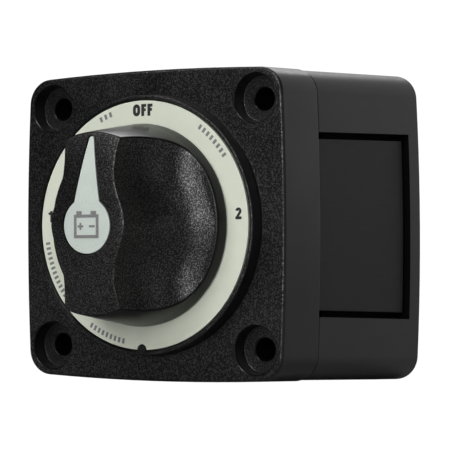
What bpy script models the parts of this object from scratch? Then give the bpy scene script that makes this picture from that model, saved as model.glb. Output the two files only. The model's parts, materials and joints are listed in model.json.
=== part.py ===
"""Square surface-mount battery switch with three positions: OFF, 1 on the left and 2 on the right.

The switch is modelled lying on its back: local +Z points out of its face and local +Y towards OFF.
A parent empty then stands it up, so that the face looks along -Y and OFF is at the top. The origin is
the centre of the rear cover's back face, on the knob's axis.
"""
import math

import bmesh
import bpy

MM = 0.001

# Body: a rounded square that widens evenly from its face to its back.
BODY_DEPTH = 56.6 * MM
FACE_HALF_WIDTH = 32.57 * MM
BACK_HALF_WIDTH = 34.93 * MM
SEAM_DEPTH = 13.64 * MM
SIDE_BOW_RADIUS = 566 * MM
CORNER_RADIUS = 5.5 * MM
COVER_INSET = 0.2 * MM
COVER_WALL = 2.2 * MM
CLEARANCE = 0.3 * MM

# Mounting holes, one in each corner.
HOLE_SPACING = 51.2 * MM
HOLE_RADIUS = 2.35 * MM
COUNTERBORE_RADIUS = 4.98 * MM
COUNTERBORE_DEPTH = 3.7 * MM
POST_RADIUS = 5.0 * MM
POST_SETBACK = 2.5 * MM

# Dial: a raised boss whose rim holds the pale ring.
BOSS_HEIGHT = 3.45 * MM
BOSS_RADIUS = 27.1 * MM
RING_RADIUS = 25.95 * MM
RING_BORE_RADIUS = 9.0 * MM
RING_HEIGHT = 3.3 * MM
RING_THICKNESS = 0.7 * MM
KEY_RADIUS = 0.9 * MM

# Knob, measured from the ring's face.
KNOB_BASE_RADIUS = 21.23 * MM
KNOB_TOP_RADIUS = 18.5 * MM
KNOB_HEIGHT = 19.8 * MM
DOME_RADIUS = 80 * MM
DOME_RINGS = 5
KNOB_EDGE_ROUND = 0.6 * MM
SCOOP_FLOOR = 3.3 * MM
SCOOP_REACH = 11 * MM
GRIP_WAIST = 5.9 * MM
GRIP_BULGE = 3.2 * MM
GRIP_BULGE_LENGTH = 6.6 * MM
GRIP_FLARE = 1.3 * MM

# Pointer insert, let into the crown of the knob.
INSERT_RADIUS = 5.6 * MM
INSERT_OFFSET = -0.4 * MM
INSERT_NECK = 3.05 * MM
INSERT_TIP_RADIUS = 0.55 * MM
INSERT_TIP_REACH = 17.0 * MM
INSERT_RECESS = 0.2 * MM
INSERT_THICKNESS = 0.6 * MM

# Screw that holds the knob on the rotor, measured from the ring's face.
KNOB_SCREW_SEAT = 14.8 * MM
KNOB_SCREW_HEAD_RADIUS = 3.0 * MM
KNOB_SCREW_RADIUS = 1.5 * MM

# Rotor and contacts. The knob turns this many degrees from OFF to either position.
POSITION_ANGLE = 85
SHAFT_RADIUS = 5.0 * MM
BEARING_RADIUS = 5.6 * MM
GROOVE_RADIUS = 4.0 * MM
GROOVE_DEPTHS = (-0.9 * MM, 0.7 * MM)
DRIVE_WIDTH = 7.0 * MM
DRIVE_HEIGHT = 12.0 * MM
CAVITY_RADIUS = 22.9 * MM
CAVITY_FRONT = 2.5 * MM
CARRIER_RADIUS = 21.5 * MM
CARRIER_DEPTHS = (2.9 * MM, 7.6 * MM)
STOP_REACH = 1.0 * MM
STOP_WIDTH = 3.0 * MM
STOP_DEPTHS = (3.6 * MM, 6.6 * MM)
STOP_ANGLE = 94
DETENT_ORBIT = 15 * MM
DETENT_ANGLES = (0, 180)
DETENT_BALL_RADIUS = 1.3 * MM
DIMPLE_RADIUS = 1.4 * MM
BRIDGE_DEPTHS = (8.9 * MM, 10.0 * MM)
BRIDGE_HUB_RADIUS = 7.0 * MM
BRIDGE_KEY = 2.5 * MM
ARM_REACH = 16 * MM
ARM_HALF_WIDTH = 4 * MM
ARM_ANGLES = (45, 135)
CONTACT_SPRING_ORBIT = 12 * MM
CONTACT_DEPTH = 10.3 * MM
CONTACT_HEAD_RADIUS = 5.8 * MM

# Contact base, its screws and the three terminal studs.
BASE_RADIUS = 29.3 * MM
BASE_DEPTHS = (9.3 * MM, 16.5 * MM)
WELL_DEPTH = 12.6 * MM
BASE_SCREW_ORBIT = 26.8 * MM
BASE_SCREW_ANGLES = (0, 90, 180, 270)
BASE_SCREW_HOLE_RADIUS = 1.6 * MM
BASE_SCREW_RADIUS = 1.3 * MM
BASE_SCREW_HEAD_RADIUS = 2.5 * MM
GASKET_GROOVE = (23.5 * MM, 25.0 * MM)
RIB_HEIGHT = 6 * MM
RIB_REACH = 24 * MM
RIB_ANGLES = (22.5, 157.5, 270)
BUS_DEPTHS = (11.3 * MM, 12.3 * MM)
STUD_RADIUS = 4.76 * MM
STUD_LENGTH = 22.2 * MM
STUD_PLACES = {
    "stud_battery_1": (-11.6 * MM, -11.6 * MM),
    "stud_battery_2": (11.6 * MM, -11.6 * MM),
    "stud_common": (0.0, 15.0 * MM),
}
NUT_ACROSS_FLATS = 14.3 * MM
NUT_HEIGHT = 8.3 * MM
WASHER_THICKNESS = 1.8 * MM
WASHER_RADIUS = 7.8 * MM

# Cable windows in the rear cover and their side plates.
WINDOW_HALF_HEIGHT = 19.13 * MM
WINDOW_END_DEPTH = 51.6 * MM
WINDOW_SPLAY = 0.072
PLATE_GAP = 1.3 * MM
PLATE_RECESS = 1.0 * MM
PLATE_THICKNESS = 1.6 * MM
LEDGE_WIDTH = 3.0 * MM
LEDGE_START_DEPTH = 19.5 * MM
LEDGE_SETBACK = 2.9 * MM
PLATE_LEG_OFFSET = 14 * MM
PLATE_LEG_HALF_WIDTH = 0.8 * MM
PLATE_LEG_DEPTHS = (24 * MM, 44 * MM)
PLATE_LEG_REACHES = (27.5 * MM, 31.2 * MM)
SIDES = {"right": 0, "top": 90, "left": 180, "bottom": 270}


def clear_scene():
    for item in list(bpy.data.objects):
        bpy.data.objects.remove(item, do_unlink=True)


def new_collection(name):
    collection = bpy.data.collections.new(name)
    bpy.context.scene.collection.children.link(collection)
    return collection


def new_material(name, color, roughness, metallic=0.0):
    material = bpy.data.materials.new(name)
    material.use_nodes = True
    shader = material.node_tree.nodes["Principled BSDF"]
    shader.inputs["Base Color"].default_value = (*color, 1.0)
    shader.inputs["Roughness"].default_value = roughness
    shader.inputs["Metallic"].default_value = metallic
    return material


def at_depth(depth):
    """Height above the back face of a plane that lies this far behind the face."""
    return BODY_DEPTH - depth


def above_ring(height):
    """Height above the back face of a plane that lies this far in front of the dial ring."""
    return BODY_DEPTH + RING_HEIGHT + height


def place(item, collection):
    collection.objects.link(item)
    item.parent = upright
    return item


def mesh_object(name, mesh_data, collection):
    return place(bpy.data.objects.new(name, mesh_data), collection)


def object_from_bmesh(name, shape, collection):
    bmesh.ops.recalc_face_normals(shape, faces=shape.faces)
    mesh_data = bpy.data.meshes.new(name)
    shape.to_mesh(mesh_data)
    shape.free()
    return mesh_object(name, mesh_data, collection)


def cylinder(name, radius, low, high, collection, centre=(0.0, 0.0), sides=32):
    shape = bmesh.new()
    bmesh.ops.create_cone(
        shape, cap_ends=True, segments=sides, radius1=radius, radius2=radius, depth=high - low
    )
    bmesh.ops.translate(shape, verts=shape.verts, vec=(*centre, (low + high) / 2))
    return object_from_bmesh(name, shape, collection)


def box(name, low, high, collection):
    shape = bmesh.new()
    bmesh.ops.create_cube(shape, size=1.0)
    size = [h - l for l, h in zip(low, high)]
    middle = [(l + h) / 2 for l, h in zip(low, high)]
    bmesh.ops.scale(shape, verts=shape.verts, vec=size)
    bmesh.ops.translate(shape, verts=shape.verts, vec=middle)
    return object_from_bmesh(name, shape, collection)


def splay(item):
    """Widen a window's shape evenly from the seam to the window's end, as the body widens."""
    for vertex in item.data.vertices:
        share = (at_depth(SEAM_DEPTH) - vertex.co.z) / (WINDOW_END_DEPTH - SEAM_DEPTH)
        vertex.co.y *= 1 + WINDOW_SPLAY * share
    return item


def turned(name, profile, collection, steps=48, closed=False):
    """Turn a profile of (radius, height) points about the vertical axis; its outer side runs downwards."""
    shape = bmesh.new()
    points = [shape.verts.new((radius, 0.0, height)) for radius, height in profile]
    for start, end in zip(points, points[1:]):
        shape.edges.new((start, end))
    if closed:
        shape.edges.new((points[-1], points[0]))
    mesh_data = bpy.data.meshes.new(name)
    shape.to_mesh(mesh_data)
    shape.free()
    item = mesh_object(name, mesh_data, collection)
    screw = item.modifiers.new("Turn", "SCREW")
    screw.steps = steps
    screw.render_steps = steps
    screw.use_merge_vertices = True
    screw.merge_threshold = 0.00001
    return item


def ring_profile(inner, outer, low, high):
    """The closed section of a plain ring."""
    return [(outer, high), (outer, low), (inner, low), (inner, high)]


def outline_prism(name, points, low, high, collection):
    """Extrude a flat outline of (x, y) points between two heights."""
    shape = bmesh.new()
    face = shape.faces.new([shape.verts.new((x, y, low)) for x, y in points])
    raised = bmesh.ops.extrude_face_region(shape, geom=[face])["geom"]
    moved = [element for element in raised if isinstance(element, bmesh.types.BMVert)]
    bmesh.ops.translate(shape, verts=moved, vec=(0, 0, high - low))
    return object_from_bmesh(name, shape, collection)


def arc(centre, radius, start, end, segments):
    """Points along an arc, from one angle to another, both in degrees."""
    points = []
    for index in range(segments + 1):
        angle = math.radians(start + (end - start) * index / segments)
        points.append((centre[0] + radius * math.cos(angle), centre[1] + radius * math.sin(angle)))
    return points


def rounded_square(half_width, corner_radius):
    """A square with slightly bowed sides, whose corner arcs run smoothly into the sides."""
    reach = half_width - SIDE_BOW_RADIUS
    to_corner = SIDE_BOW_RADIUS - corner_radius
    corner = (reach + math.sqrt(2 * to_corner**2 - reach**2)) / 2
    half_angle = math.degrees(math.atan2(corner, corner - reach))
    quarter = arc((reach, 0.0), SIDE_BOW_RADIUS, -half_angle, half_angle, 6)
    quarter += arc((corner, corner), corner_radius, half_angle, 90 - half_angle, 6)[1:-1]
    points = []
    for turn in range(4):
        cosine, sine = round(math.cos(turn * math.pi / 2)), round(math.sin(turn * math.pi / 2))
        points += [(x * cosine - y * sine, x * sine + y * cosine) for x, y in quarter]
    return points


def tapered_block(name, back_half, back_depth, front_half, front_depth, corner, collection,
                  front_round=0.0, back_round=0.0):
    """A rounded square block that narrows from its back to its front, with rounded rims."""
    low, high = at_depth(back_depth), at_depth(front_depth)
    shape = bmesh.new()
    face = shape.faces.new([shape.verts.new((x, y, low)) for x, y in rounded_square(back_half, corner)])
    raised = bmesh.ops.extrude_face_region(shape, geom=[face])["geom"]
    front = [element for element in raised if isinstance(element, bmesh.types.BMVert)]
    narrowing = front_half / back_half
    bmesh.ops.scale(shape, verts=front, vec=(narrowing, narrowing, 1.0))
    bmesh.ops.translate(shape, verts=front, vec=(0, 0, high - low))
    for height, radius in ((high, front_round), (low, back_round)):
        if radius == 0.0:
            continue
        rim = [e for e in shape.edges if all(abs(v.co.z - height) < 0.01 * MM for v in e.verts)]
        bmesh.ops.bevel(shape, geom=rim, offset=radius, segments=3, profile=0.5, affect="EDGES")
    return object_from_bmesh(name, shape, collection)


def half_width_at(depth, inset=0.0):
    """Half the body's width at a depth behind the face."""
    widening = (BACK_HALF_WIDTH - FACE_HALF_WIDTH) / BODY_DEPTH
    return FACE_HALF_WIDTH + widening * depth - inset


def combine(item, other, operation):
    """Apply another shape to an object with a Boolean; the other shape becomes a hidden guide."""
    modifier = item.modifiers.new(operation.title(), "BOOLEAN")
    modifier.operation = operation
    modifier.solver = "EXACT"
    modifier.object = other
    other.display_type = "WIRE"
    other.hide_render = True


def cut(item, other):
    combine(item, other, "DIFFERENCE")


def join(item, other):
    combine(item, other, "UNION")


def keep_inside(item, other):
    combine(item, other, "INTERSECT")


def copies(template, places, material):
    """Objects that share the template's finished mesh, one at each named place."""
    bpy.context.view_layer.update()
    template.display_type = "WIRE"
    template.hide_render = True
    evaluated = template.evaluated_get(bpy.context.evaluated_depsgraph_get())
    single = bpy.data.meshes.new_from_object(evaluated)
    for name, centre in places.items():
        item = finish(mesh_object(name, single, parts), material)
        item.location = (*centre, 0.0)


def finish(item, material, sharp_degrees=35):
    if item.type == "MESH":
        item.data.shade_smooth()
        item.data.set_sharp_from_angle(angle=math.radians(sharp_degrees))
    item.data.materials.clear()
    item.data.materials.append(material)
    return item


def around(orbit, angles):
    """Centres on a circle about the axis, at angles in degrees."""
    return [(orbit * math.cos(math.radians(a)), orbit * math.sin(math.radians(a))) for a in angles]


def corner_places():
    half = HOLE_SPACING / 2
    return [(x, y) for x in (-half, half) for y in (-half, half)]


# ---------------------------------------------------------------- fixed pieces

def make_front_housing():
    """Square face moulding with the dial boss, the rotor cavity and four counterbored corners."""
    seam_half = half_width_at(SEAM_DEPTH)
    housing = tapered_block("front_housing", seam_half, SEAM_DEPTH, FACE_HALF_WIDTH, 0.0, CORNER_RADIUS,
                            parts, front_round=0.5 * MM, back_round=0.4 * MM)
    boss_top = at_depth(-BOSS_HEIGHT)
    edge = 0.25 * MM
    boss = turned("boss", [
        (0.0, boss_top),
        (BOSS_RADIUS - edge, boss_top),
        (BOSS_RADIUS, boss_top - edge),
        (BOSS_RADIUS + edge / 2, at_depth(1.0 * MM)),
        (0.0, at_depth(1.0 * MM)),
    ], guides)
    join(housing, boss)
    recess_floor = above_ring(-RING_THICKNESS - CLEARANCE)
    cut(housing, cylinder("ring_recess", RING_RADIUS + CLEARANCE, recess_floor, boss_top + MM, guides,
                          sides=48))
    key_place = (0.0, -RING_RADIUS)
    join(housing, cylinder("ring_key", KEY_RADIUS, recess_floor - MM / 2, boss_top - 0.1 * MM, guides,
                           key_place, 16))
    cavity = turned("rotor_cavity", [
        (0.0, at_depth(CAVITY_FRONT)),
        (CAVITY_RADIUS, at_depth(CAVITY_FRONT)),
        (CAVITY_RADIUS, at_depth(BASE_DEPTHS[0] - CLEARANCE)),
        (BASE_RADIUS + CLEARANCE, at_depth(BASE_DEPTHS[0] - CLEARANCE)),
        (BASE_RADIUS + CLEARANCE, at_depth(SEAM_DEPTH + MM)),
        (0.0, at_depth(SEAM_DEPTH + MM)),
    ], guides, steps=32)
    cut(housing, cavity)
    cut(housing, cylinder("bearing_bore", BEARING_RADIUS, at_depth(3 * MM), boss_top + MM, guides,
                          sides=24))
    for number, centre in enumerate(corner_places()):
        cut(housing, turned_hole(f"mounting_hole_{number}", centre))
    for number, centre in enumerate(around(BASE_SCREW_ORBIT, BASE_SCREW_ANGLES)):
        cut(housing, cylinder(f"screw_hole_{number}", BASE_SCREW_HOLE_RADIUS, at_depth(9.5 * MM),
                              at_depth(4 * MM), guides, centre, 12))
    for number, angle in enumerate((90 - STOP_ANGLE, 90 + STOP_ANGLE)):
        join(housing, stop_block(f"turning_stop_{number}", CAVITY_RADIUS - STOP_REACH, CAVITY_RADIUS + MM,
                                 CAVITY_FRONT - MM / 2, angle))
    turns = (-POSITION_ANGLE, 0, POSITION_ANGLE)
    dimple_angles = [angle + turn for angle in DETENT_ANGLES for turn in turns]
    for number, centre in enumerate(around(DETENT_ORBIT, dimple_angles)):
        cut(housing, detent_dimple(f"detent_dimple_{number}", centre))
    return finish(housing, black_plastic)


def turned_hole(name, centre):
    """A counterbored screw hole that runs right through the body."""
    hole = turned(name, [
        (0.0, at_depth(-MM)),
        (COUNTERBORE_RADIUS, at_depth(-MM)),
        (COUNTERBORE_RADIUS, at_depth(COUNTERBORE_DEPTH)),
        (HOLE_RADIUS, at_depth(COUNTERBORE_DEPTH)),
        (HOLE_RADIUS, -MM),
        (0.0, -MM),
    ], guides, steps=24)
    hole.location = (*centre, 0.0)
    return hole


def detent_dimple(name, centre):
    shape = bmesh.new()
    bmesh.ops.create_uvsphere(shape, u_segments=8, v_segments=6, radius=DIMPLE_RADIUS)
    bmesh.ops.translate(shape, verts=shape.verts, vec=(*centre, at_depth(CAVITY_FRONT + DIMPLE_RADIUS / 2)))
    return object_from_bmesh(name, shape, guides)


def stop_block(name, inner, outer, front_depth, angle):
    """A block that stops the rotor: one is on the carrier's rim, and two are on the cavity's wall."""
    block = box(name, (inner, -STOP_WIDTH / 2, at_depth(STOP_DEPTHS[1])),
                (outer, STOP_WIDTH / 2, at_depth(front_depth)), guides)
    block.rotation_euler = (0, 0, math.radians(angle))
    return block


def make_dial_ring():
    """Pale label ring, keyed to the boss at six o'clock."""
    top, bottom = above_ring(0.0), above_ring(-RING_THICKNESS)
    ring = turned("dial_ring", ring_profile(RING_BORE_RADIUS, RING_RADIUS, bottom, top), parts,
                  closed=True)
    cut(ring, cylinder("key_notch", KEY_RADIUS + CLEARANCE, bottom - MM, top + MM, guides,
                       (0.0, -RING_RADIUS), 16))
    return finish(ring, pale_label)


def make_contact_base():
    """Round base that closes the rotor cavity and carries the three terminal studs."""
    front, back = at_depth(BASE_DEPTHS[0]), at_depth(BASE_DEPTHS[1])
    well = at_depth(WELL_DEPTH)
    base = turned("contact_base", [
        (0.0, well),
        (CAVITY_RADIUS, well),
        (CAVITY_RADIUS, front),
        (GASKET_GROOVE[0], front),
        (GASKET_GROOVE[0], front - MM),
        (GASKET_GROOVE[1], front - MM),
        (GASKET_GROOVE[1], front),
        (BASE_RADIUS, front),
        (BASE_RADIUS, back),
        (0.0, back),
    ], parts, steps=32)
    hub = cylinder("rib_hub", 3.5 * MM, back - RIB_HEIGHT, back + MM, guides, sides=16)
    join(base, hub)
    for number, angle in enumerate(RIB_ANGLES):
        rib = box(f"rib_{number}", (2 * MM, -MM, back - RIB_HEIGHT), (RIB_REACH, MM, back + MM / 2), guides)
        rib.rotation_euler = (0, 0, math.radians(angle))
        join(base, rib)
    for name, centre in STUD_PLACES.items():
        cut(base, cylinder(f"{name}_hole", STUD_RADIUS + CLEARANCE, back - MM, well + MM, guides,
                           centre, 16))
    for number, centre in enumerate(around(BASE_SCREW_ORBIT, BASE_SCREW_ANGLES)):
        cut(base, cylinder(f"base_screw_hole_{number}", BASE_SCREW_HOLE_RADIUS, back - MM, front + MM,
                           guides, centre, 12))
    return finish(base, base_plastic)


def make_base_gasket():
    """Sealing ring in the contact base's groove."""
    front = at_depth(BASE_DEPTHS[0])
    inner, outer = GASKET_GROOVE[0] + CLEARANCE, GASKET_GROOVE[1] - CLEARANCE
    gasket = turned("base_gasket", ring_profile(inner, outer, front - MM + CLEARANCE, front), parts,
                    steps=32, closed=True)
    return finish(gasket, seal_rubber)


def make_base_screws():
    """Four screws that hold the contact base in the front housing."""
    seat = at_depth(BASE_DEPTHS[1] + CLEARANCE)
    tip = at_depth(5 * MM)
    top = seat - 1.9 * MM
    template = turned("base_screw", [
        (0.0, tip),
        (BASE_SCREW_RADIUS / 2, tip),
        (BASE_SCREW_RADIUS, tip - 1.5 * MM),
        (BASE_SCREW_RADIUS, seat),
        (BASE_SCREW_HEAD_RADIUS, seat),
        (BASE_SCREW_HEAD_RADIUS, top + 0.8 * MM),
        (BASE_SCREW_HEAD_RADIUS - 0.9 * MM, top),
        (0.0, top),
    ], guides, steps=12)
    centres = around(BASE_SCREW_ORBIT, BASE_SCREW_ANGLES)
    copies(template, {f"base_screw_{n + 1}": centre for n, centre in enumerate(centres)}, stainless_steel)


def make_stud(name, centre):
    """Threaded terminal stud whose flat head is the fixed contact."""
    common = name == "stud_common"
    head = CONTACT_DEPTH
    head_end = CONTACT_DEPTH + (0.7 if common else 2.0) * MM
    tip = BASE_DEPTHS[1] + STUD_LENGTH
    stud = turned(name, [
        (0.0, at_depth(head)),
        (CONTACT_HEAD_RADIUS, at_depth(head)),
        (CONTACT_HEAD_RADIUS, at_depth(head_end)),
        (STUD_RADIUS, at_depth(head_end)),
        (STUD_RADIUS, at_depth(tip - 0.8 * MM)),
        (STUD_RADIUS - 0.8 * MM, at_depth(tip)),
        (0.0, at_depth(tip)),
    ], parts, steps=24)
    stud.location = (*centre, 0.0)
    return finish(stud, tinned_copper)


def make_common_bus():
    """Flat bar from the centre contact to the common stud."""
    high, low = at_depth(BUS_DEPTHS[0]), at_depth(BUS_DEPTHS[1])
    far = STUD_PLACES["stud_common"][1]
    outline = arc((0.0, 0.0), 5.0 * MM, 180, 360, 12) + arc((0.0, far), 7.0 * MM, -45, 225, 18)
    bus = outline_prism("common_bus", outline, low, high, parts)
    join(bus, cylinder("centre_contact", 4.5 * MM, low + 0.1 * MM, at_depth(CONTACT_DEPTH), guides,
                       sides=24))
    cut(bus, cylinder("bus_hole", STUD_RADIUS + CLEARANCE, low - MM, high + MM, guides, (0.0, far), 16))
    return finish(bus, tinned_copper)


def make_stud_nuts():
    high = at_depth(BASE_DEPTHS[1] + WASHER_THICKNESS + 2 * CLEARANCE)
    low = high - NUT_HEIGHT
    corner = NUT_ACROSS_FLATS / 2 / math.cos(math.pi / 6)
    template = cylinder("stud_nut", corner, low, high, guides, sides=6)
    keep_inside(template, turned("nut_chamfer", [
        (0.0, high),
        (corner - 1.1 * MM, high),
        (corner, high - 0.6 * MM),
        (corner, low + 0.6 * MM),
        (corner - 1.1 * MM, low),
        (0.0, low),
    ], guides, steps=24))
    cut(template, cylinder("nut_bore", STUD_RADIUS + CLEARANCE, low - MM, high + MM, guides, sides=16))
    places = {name.replace("stud", "nut"): centre for name, centre in STUD_PLACES.items()}
    copies(template, places, stainless_steel)


def make_stud_lock_washers():
    high = at_depth(BASE_DEPTHS[1] + CLEARANCE)
    low = high - WASHER_THICKNESS
    template = turned("lock_washer", ring_profile(STUD_RADIUS + CLEARANCE, WASHER_RADIUS, low, high),
                      guides, steps=20, closed=True)
    split = box("washer_split", (4 * MM, -0.4 * MM, low - MM), (9 * MM, 0.4 * MM, high + MM), guides)
    lean = math.radians(25)
    split.rotation_euler = (lean, 0, 0)
    split.location = (0, math.tan(lean) * (low + high) / 2, 0)
    cut(template, split)
    places = {name.replace("stud", "lock_washer"): centre for name, centre in STUD_PLACES.items()}
    copies(template, places, stainless_steel)


# ---------------------------------------------------------------- pieces that turn

def grip_half_width(along):
    """Half-width of the grip: wide round the insert, narrow at the waists, flared at the ends."""
    bulge = GRIP_BULGE * math.exp(-((along / GRIP_BULGE_LENGTH) ** 2))
    return GRIP_WAIST + bulge + GRIP_FLARE * (along / KNOB_TOP_RADIUS) ** 4


def scoop_cutter(name, side):
    """The finger scoop beside the grip: an elliptical hollow that follows the grip's waved edge."""
    columns, rows = 9, 18
    length = 2.2 * KNOB_BASE_RADIUS
    rise = KNOB_HEIGHT - SCOOP_FLOOR
    shape = bmesh.new()
    bmesh.ops.create_grid(shape, x_segments=columns, y_segments=rows, size=0.5)
    for vertex in shape.verts:
        across, along = vertex.co.x + 0.5, vertex.co.y * length
        angle = min(across * columns / (columns - 1), 1.0) * math.pi / 2
        x = grip_half_width(along) + SCOOP_REACH * (1 - math.cos(angle))
        if across > 0.99:
            x += KNOB_BASE_RADIUS
        vertex.co = (side * x, along, above_ring(SCOOP_FLOOR + rise * (1 - math.sin(angle))))
    raised = bmesh.ops.extrude_face_region(shape, geom=list(shape.faces))["geom"]
    for element in raised:
        if isinstance(element, bmesh.types.BMVert):
            element.co.z = above_ring(KNOB_HEIGHT + 3 * MM)
    return object_from_bmesh(name, shape, guides)


def dome_profile(radius, drop, floor):
    """A disc whose top follows the knob's crown, lowered by drop."""
    crown = KNOB_HEIGHT - drop
    points = []
    for index in range(DOME_RINGS + 1):
        r = radius * index / DOME_RINGS
        sag = DOME_RADIUS - math.sqrt(DOME_RADIUS**2 - r**2)
        points.append((r, above_ring(crown - sag)))
    return points + [(radius, above_ring(floor)), (0.0, above_ring(floor))]


def pointer_outline(grow):
    """A disc that runs into a long tapering pointer towards +Y."""
    radius = INSERT_RADIUS + grow
    neck = math.degrees(math.asin((INSERT_NECK + grow) / radius))
    disc = arc((0.0, INSERT_OFFSET), radius, 90 + neck, 450 - neck, 28)
    tip = arc((0.0, INSERT_TIP_REACH), INSERT_TIP_RADIUS + grow, 9, 171, 6)
    return disc + tip


def make_knob():
    """Round knob with two finger scoops that leave a waisted grip across it."""
    base = CLEARANCE
    edge = KNOB_EDGE_ROUND
    shoulder = dome_profile(KNOB_TOP_RADIUS, 0.0, 0.0)[DOME_RINGS][1]
    crown = dome_profile(KNOB_TOP_RADIUS - edge, 0.0, 0.0)[:DOME_RINGS + 1]
    profile = crown + [
        (KNOB_TOP_RADIUS - 0.25 * edge, shoulder - 0.3 * edge),
        (KNOB_TOP_RADIUS + 0.1 * edge, shoulder - edge),
        (KNOB_BASE_RADIUS, above_ring(base)),
        (0.0, above_ring(base)),
    ]
    knob = turned("knob", profile, parts, steps=60)
    for name, side in (("right_scoop", 1), ("left_scoop", -1)):
        cut(knob, scoop_cutter(name, side))
    pocket = outline_prism("insert_pocket", pointer_outline(CLEARANCE), above_ring(14 * MM),
                           above_ring(22 * MM), guides)
    drop = INSERT_RECESS + INSERT_THICKNESS + CLEARANCE
    cut(pocket, turned("pocket_floor", dome_profile(20 * MM, drop, 12 * MM), guides, steps=24))
    cut(knob, pocket)
    cut(knob, cylinder("screw_head_bore", KNOB_SCREW_HEAD_RADIUS + 0.4 * MM,
                       above_ring(KNOB_SCREW_SEAT - CLEARANCE), above_ring(22 * MM), guides, sides=24))
    cut(knob, cylinder("screw_bore", KNOB_SCREW_RADIUS + CLEARANCE, above_ring(10 * MM),
                       above_ring(KNOB_SCREW_SEAT), guides, sides=16))
    socket = DRIVE_WIDTH / 2 + CLEARANCE
    cut(knob, box("drive_socket", (-socket, -socket, above_ring(-MM)),
                  (socket, socket, above_ring(DRIVE_HEIGHT + CLEARANCE)), guides))
    cut(knob, turned("underside_pocket", ring_profile(8 * MM, 19.3 * MM, above_ring(-MM),
                                                      above_ring(1.5 * MM)), guides, steps=32,
                       closed=True))
    for name, side in (("grip_hollow_up", 1), ("grip_hollow_down", -1)):
        near, far = sorted((side * 6.2 * MM, side * 14.5 * MM))
        cut(knob, box(name, (-4.2 * MM, near, above_ring(-MM)), (4.2 * MM, far, above_ring(15 * MM)),
                      guides))
    return finish(knob, black_plastic)


def make_pointer_insert():
    """Pale insert in the crown of the knob, whose pointer shows the position."""
    insert = outline_prism("pointer_insert", pointer_outline(0.0), above_ring(14 * MM),
                           above_ring(22 * MM), parts)
    keep_inside(insert, turned("insert_top", dome_profile(20 * MM, INSERT_RECESS, 12 * MM), guides,
                               steps=24))
    cut(insert, turned("insert_bottom",
                       dome_profile(21 * MM, INSERT_RECESS + INSERT_THICKNESS, 11 * MM), guides,
                       steps=24))
    return finish(insert, white_insert)


def make_knob_screw():
    """Screw under the insert that holds the knob on the rotor."""
    head = above_ring(KNOB_SCREW_SEAT + 1.8 * MM)
    seat = above_ring(KNOB_SCREW_SEAT)
    tip = above_ring(2 * MM)
    screw = turned("knob_screw", [
        (0.0, head),
        (KNOB_SCREW_HEAD_RADIUS - 0.6 * MM, head),
        (KNOB_SCREW_HEAD_RADIUS, head - 0.6 * MM),
        (KNOB_SCREW_HEAD_RADIUS, seat),
        (KNOB_SCREW_RADIUS, seat),
        (KNOB_SCREW_RADIUS, tip + MM),
        (KNOB_SCREW_RADIUS / 2, tip),
        (0.0, tip),
    ], parts, steps=24)
    cut(screw, box("driver_slot", (-0.5 * MM, -3.2 * MM, head - 0.8 * MM),
                   (0.5 * MM, 3.2 * MM, head + MM), guides))
    return finish(screw, stainless_steel)


def make_rotor():
    """Shaft with a square drive for the knob and a round carrier for the moving contact."""
    shaft_end = above_ring(CLEARANCE)
    front, back = at_depth(CARRIER_DEPTHS[0]), at_depth(CARRIER_DEPTHS[1])
    rotor = turned("rotor", [
        (0.0, shaft_end),
        (SHAFT_RADIUS, shaft_end),
        (SHAFT_RADIUS, at_depth(GROOVE_DEPTHS[0])),
        (GROOVE_RADIUS, at_depth(GROOVE_DEPTHS[0])),
        (GROOVE_RADIUS, at_depth(GROOVE_DEPTHS[1])),
        (SHAFT_RADIUS, at_depth(GROOVE_DEPTHS[1])),
        (SHAFT_RADIUS, front),
        (CARRIER_RADIUS, front),
        (CARRIER_RADIUS, back),
        (0.0, back),
    ], parts, steps=32)
    half = DRIVE_WIDTH / 2
    join(rotor, box("drive_square", (-half, -half, shaft_end - MM / 2),
                    (half, half, above_ring(DRIVE_HEIGHT)), guides))
    join(rotor, box("bridge_key", (-BRIDGE_KEY, -BRIDGE_KEY, at_depth(BRIDGE_DEPTHS[1] - 0.1 * MM)),
                    (BRIDGE_KEY, BRIDGE_KEY, back + MM / 2), guides))
    join(rotor, stop_block("rotor_stop", CARRIER_RADIUS - MM, CAVITY_RADIUS - 0.4 * MM, STOP_DEPTHS[0], 90))
    cut(rotor, cylinder("screw_socket", KNOB_SCREW_RADIUS + CLEARANCE, above_ring(0.5 * MM),
                        above_ring(13 * MM), guides, sides=16))
    for number, centre in enumerate(around(DETENT_ORBIT, DETENT_ANGLES)):
        cut(rotor, cylinder(f"detent_pocket_{number}", DETENT_BALL_RADIUS + 0.4 * MM, at_depth(6.9 * MM),
                            front + MM, guides, centre, 16))
    for number, centre in enumerate(around(CONTACT_SPRING_ORBIT, ARM_ANGLES)):
        cut(rotor, cylinder(f"spring_pocket_{number}", 2.9 * MM, back - MM, at_depth(4.6 * MM), guides,
                            centre, 20))
    return finish(rotor, rotor_plastic)


def make_shaft_seal():
    """O-ring in the shaft's groove."""
    section = arc((4.8 * MM, at_depth(sum(GROOVE_DEPTHS) / 2)), 0.5 * MM, 90, -225, 7)
    seal = turned("shaft_seal", section, parts, steps=20, closed=True)
    return finish(seal, seal_rubber, 60)


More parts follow.
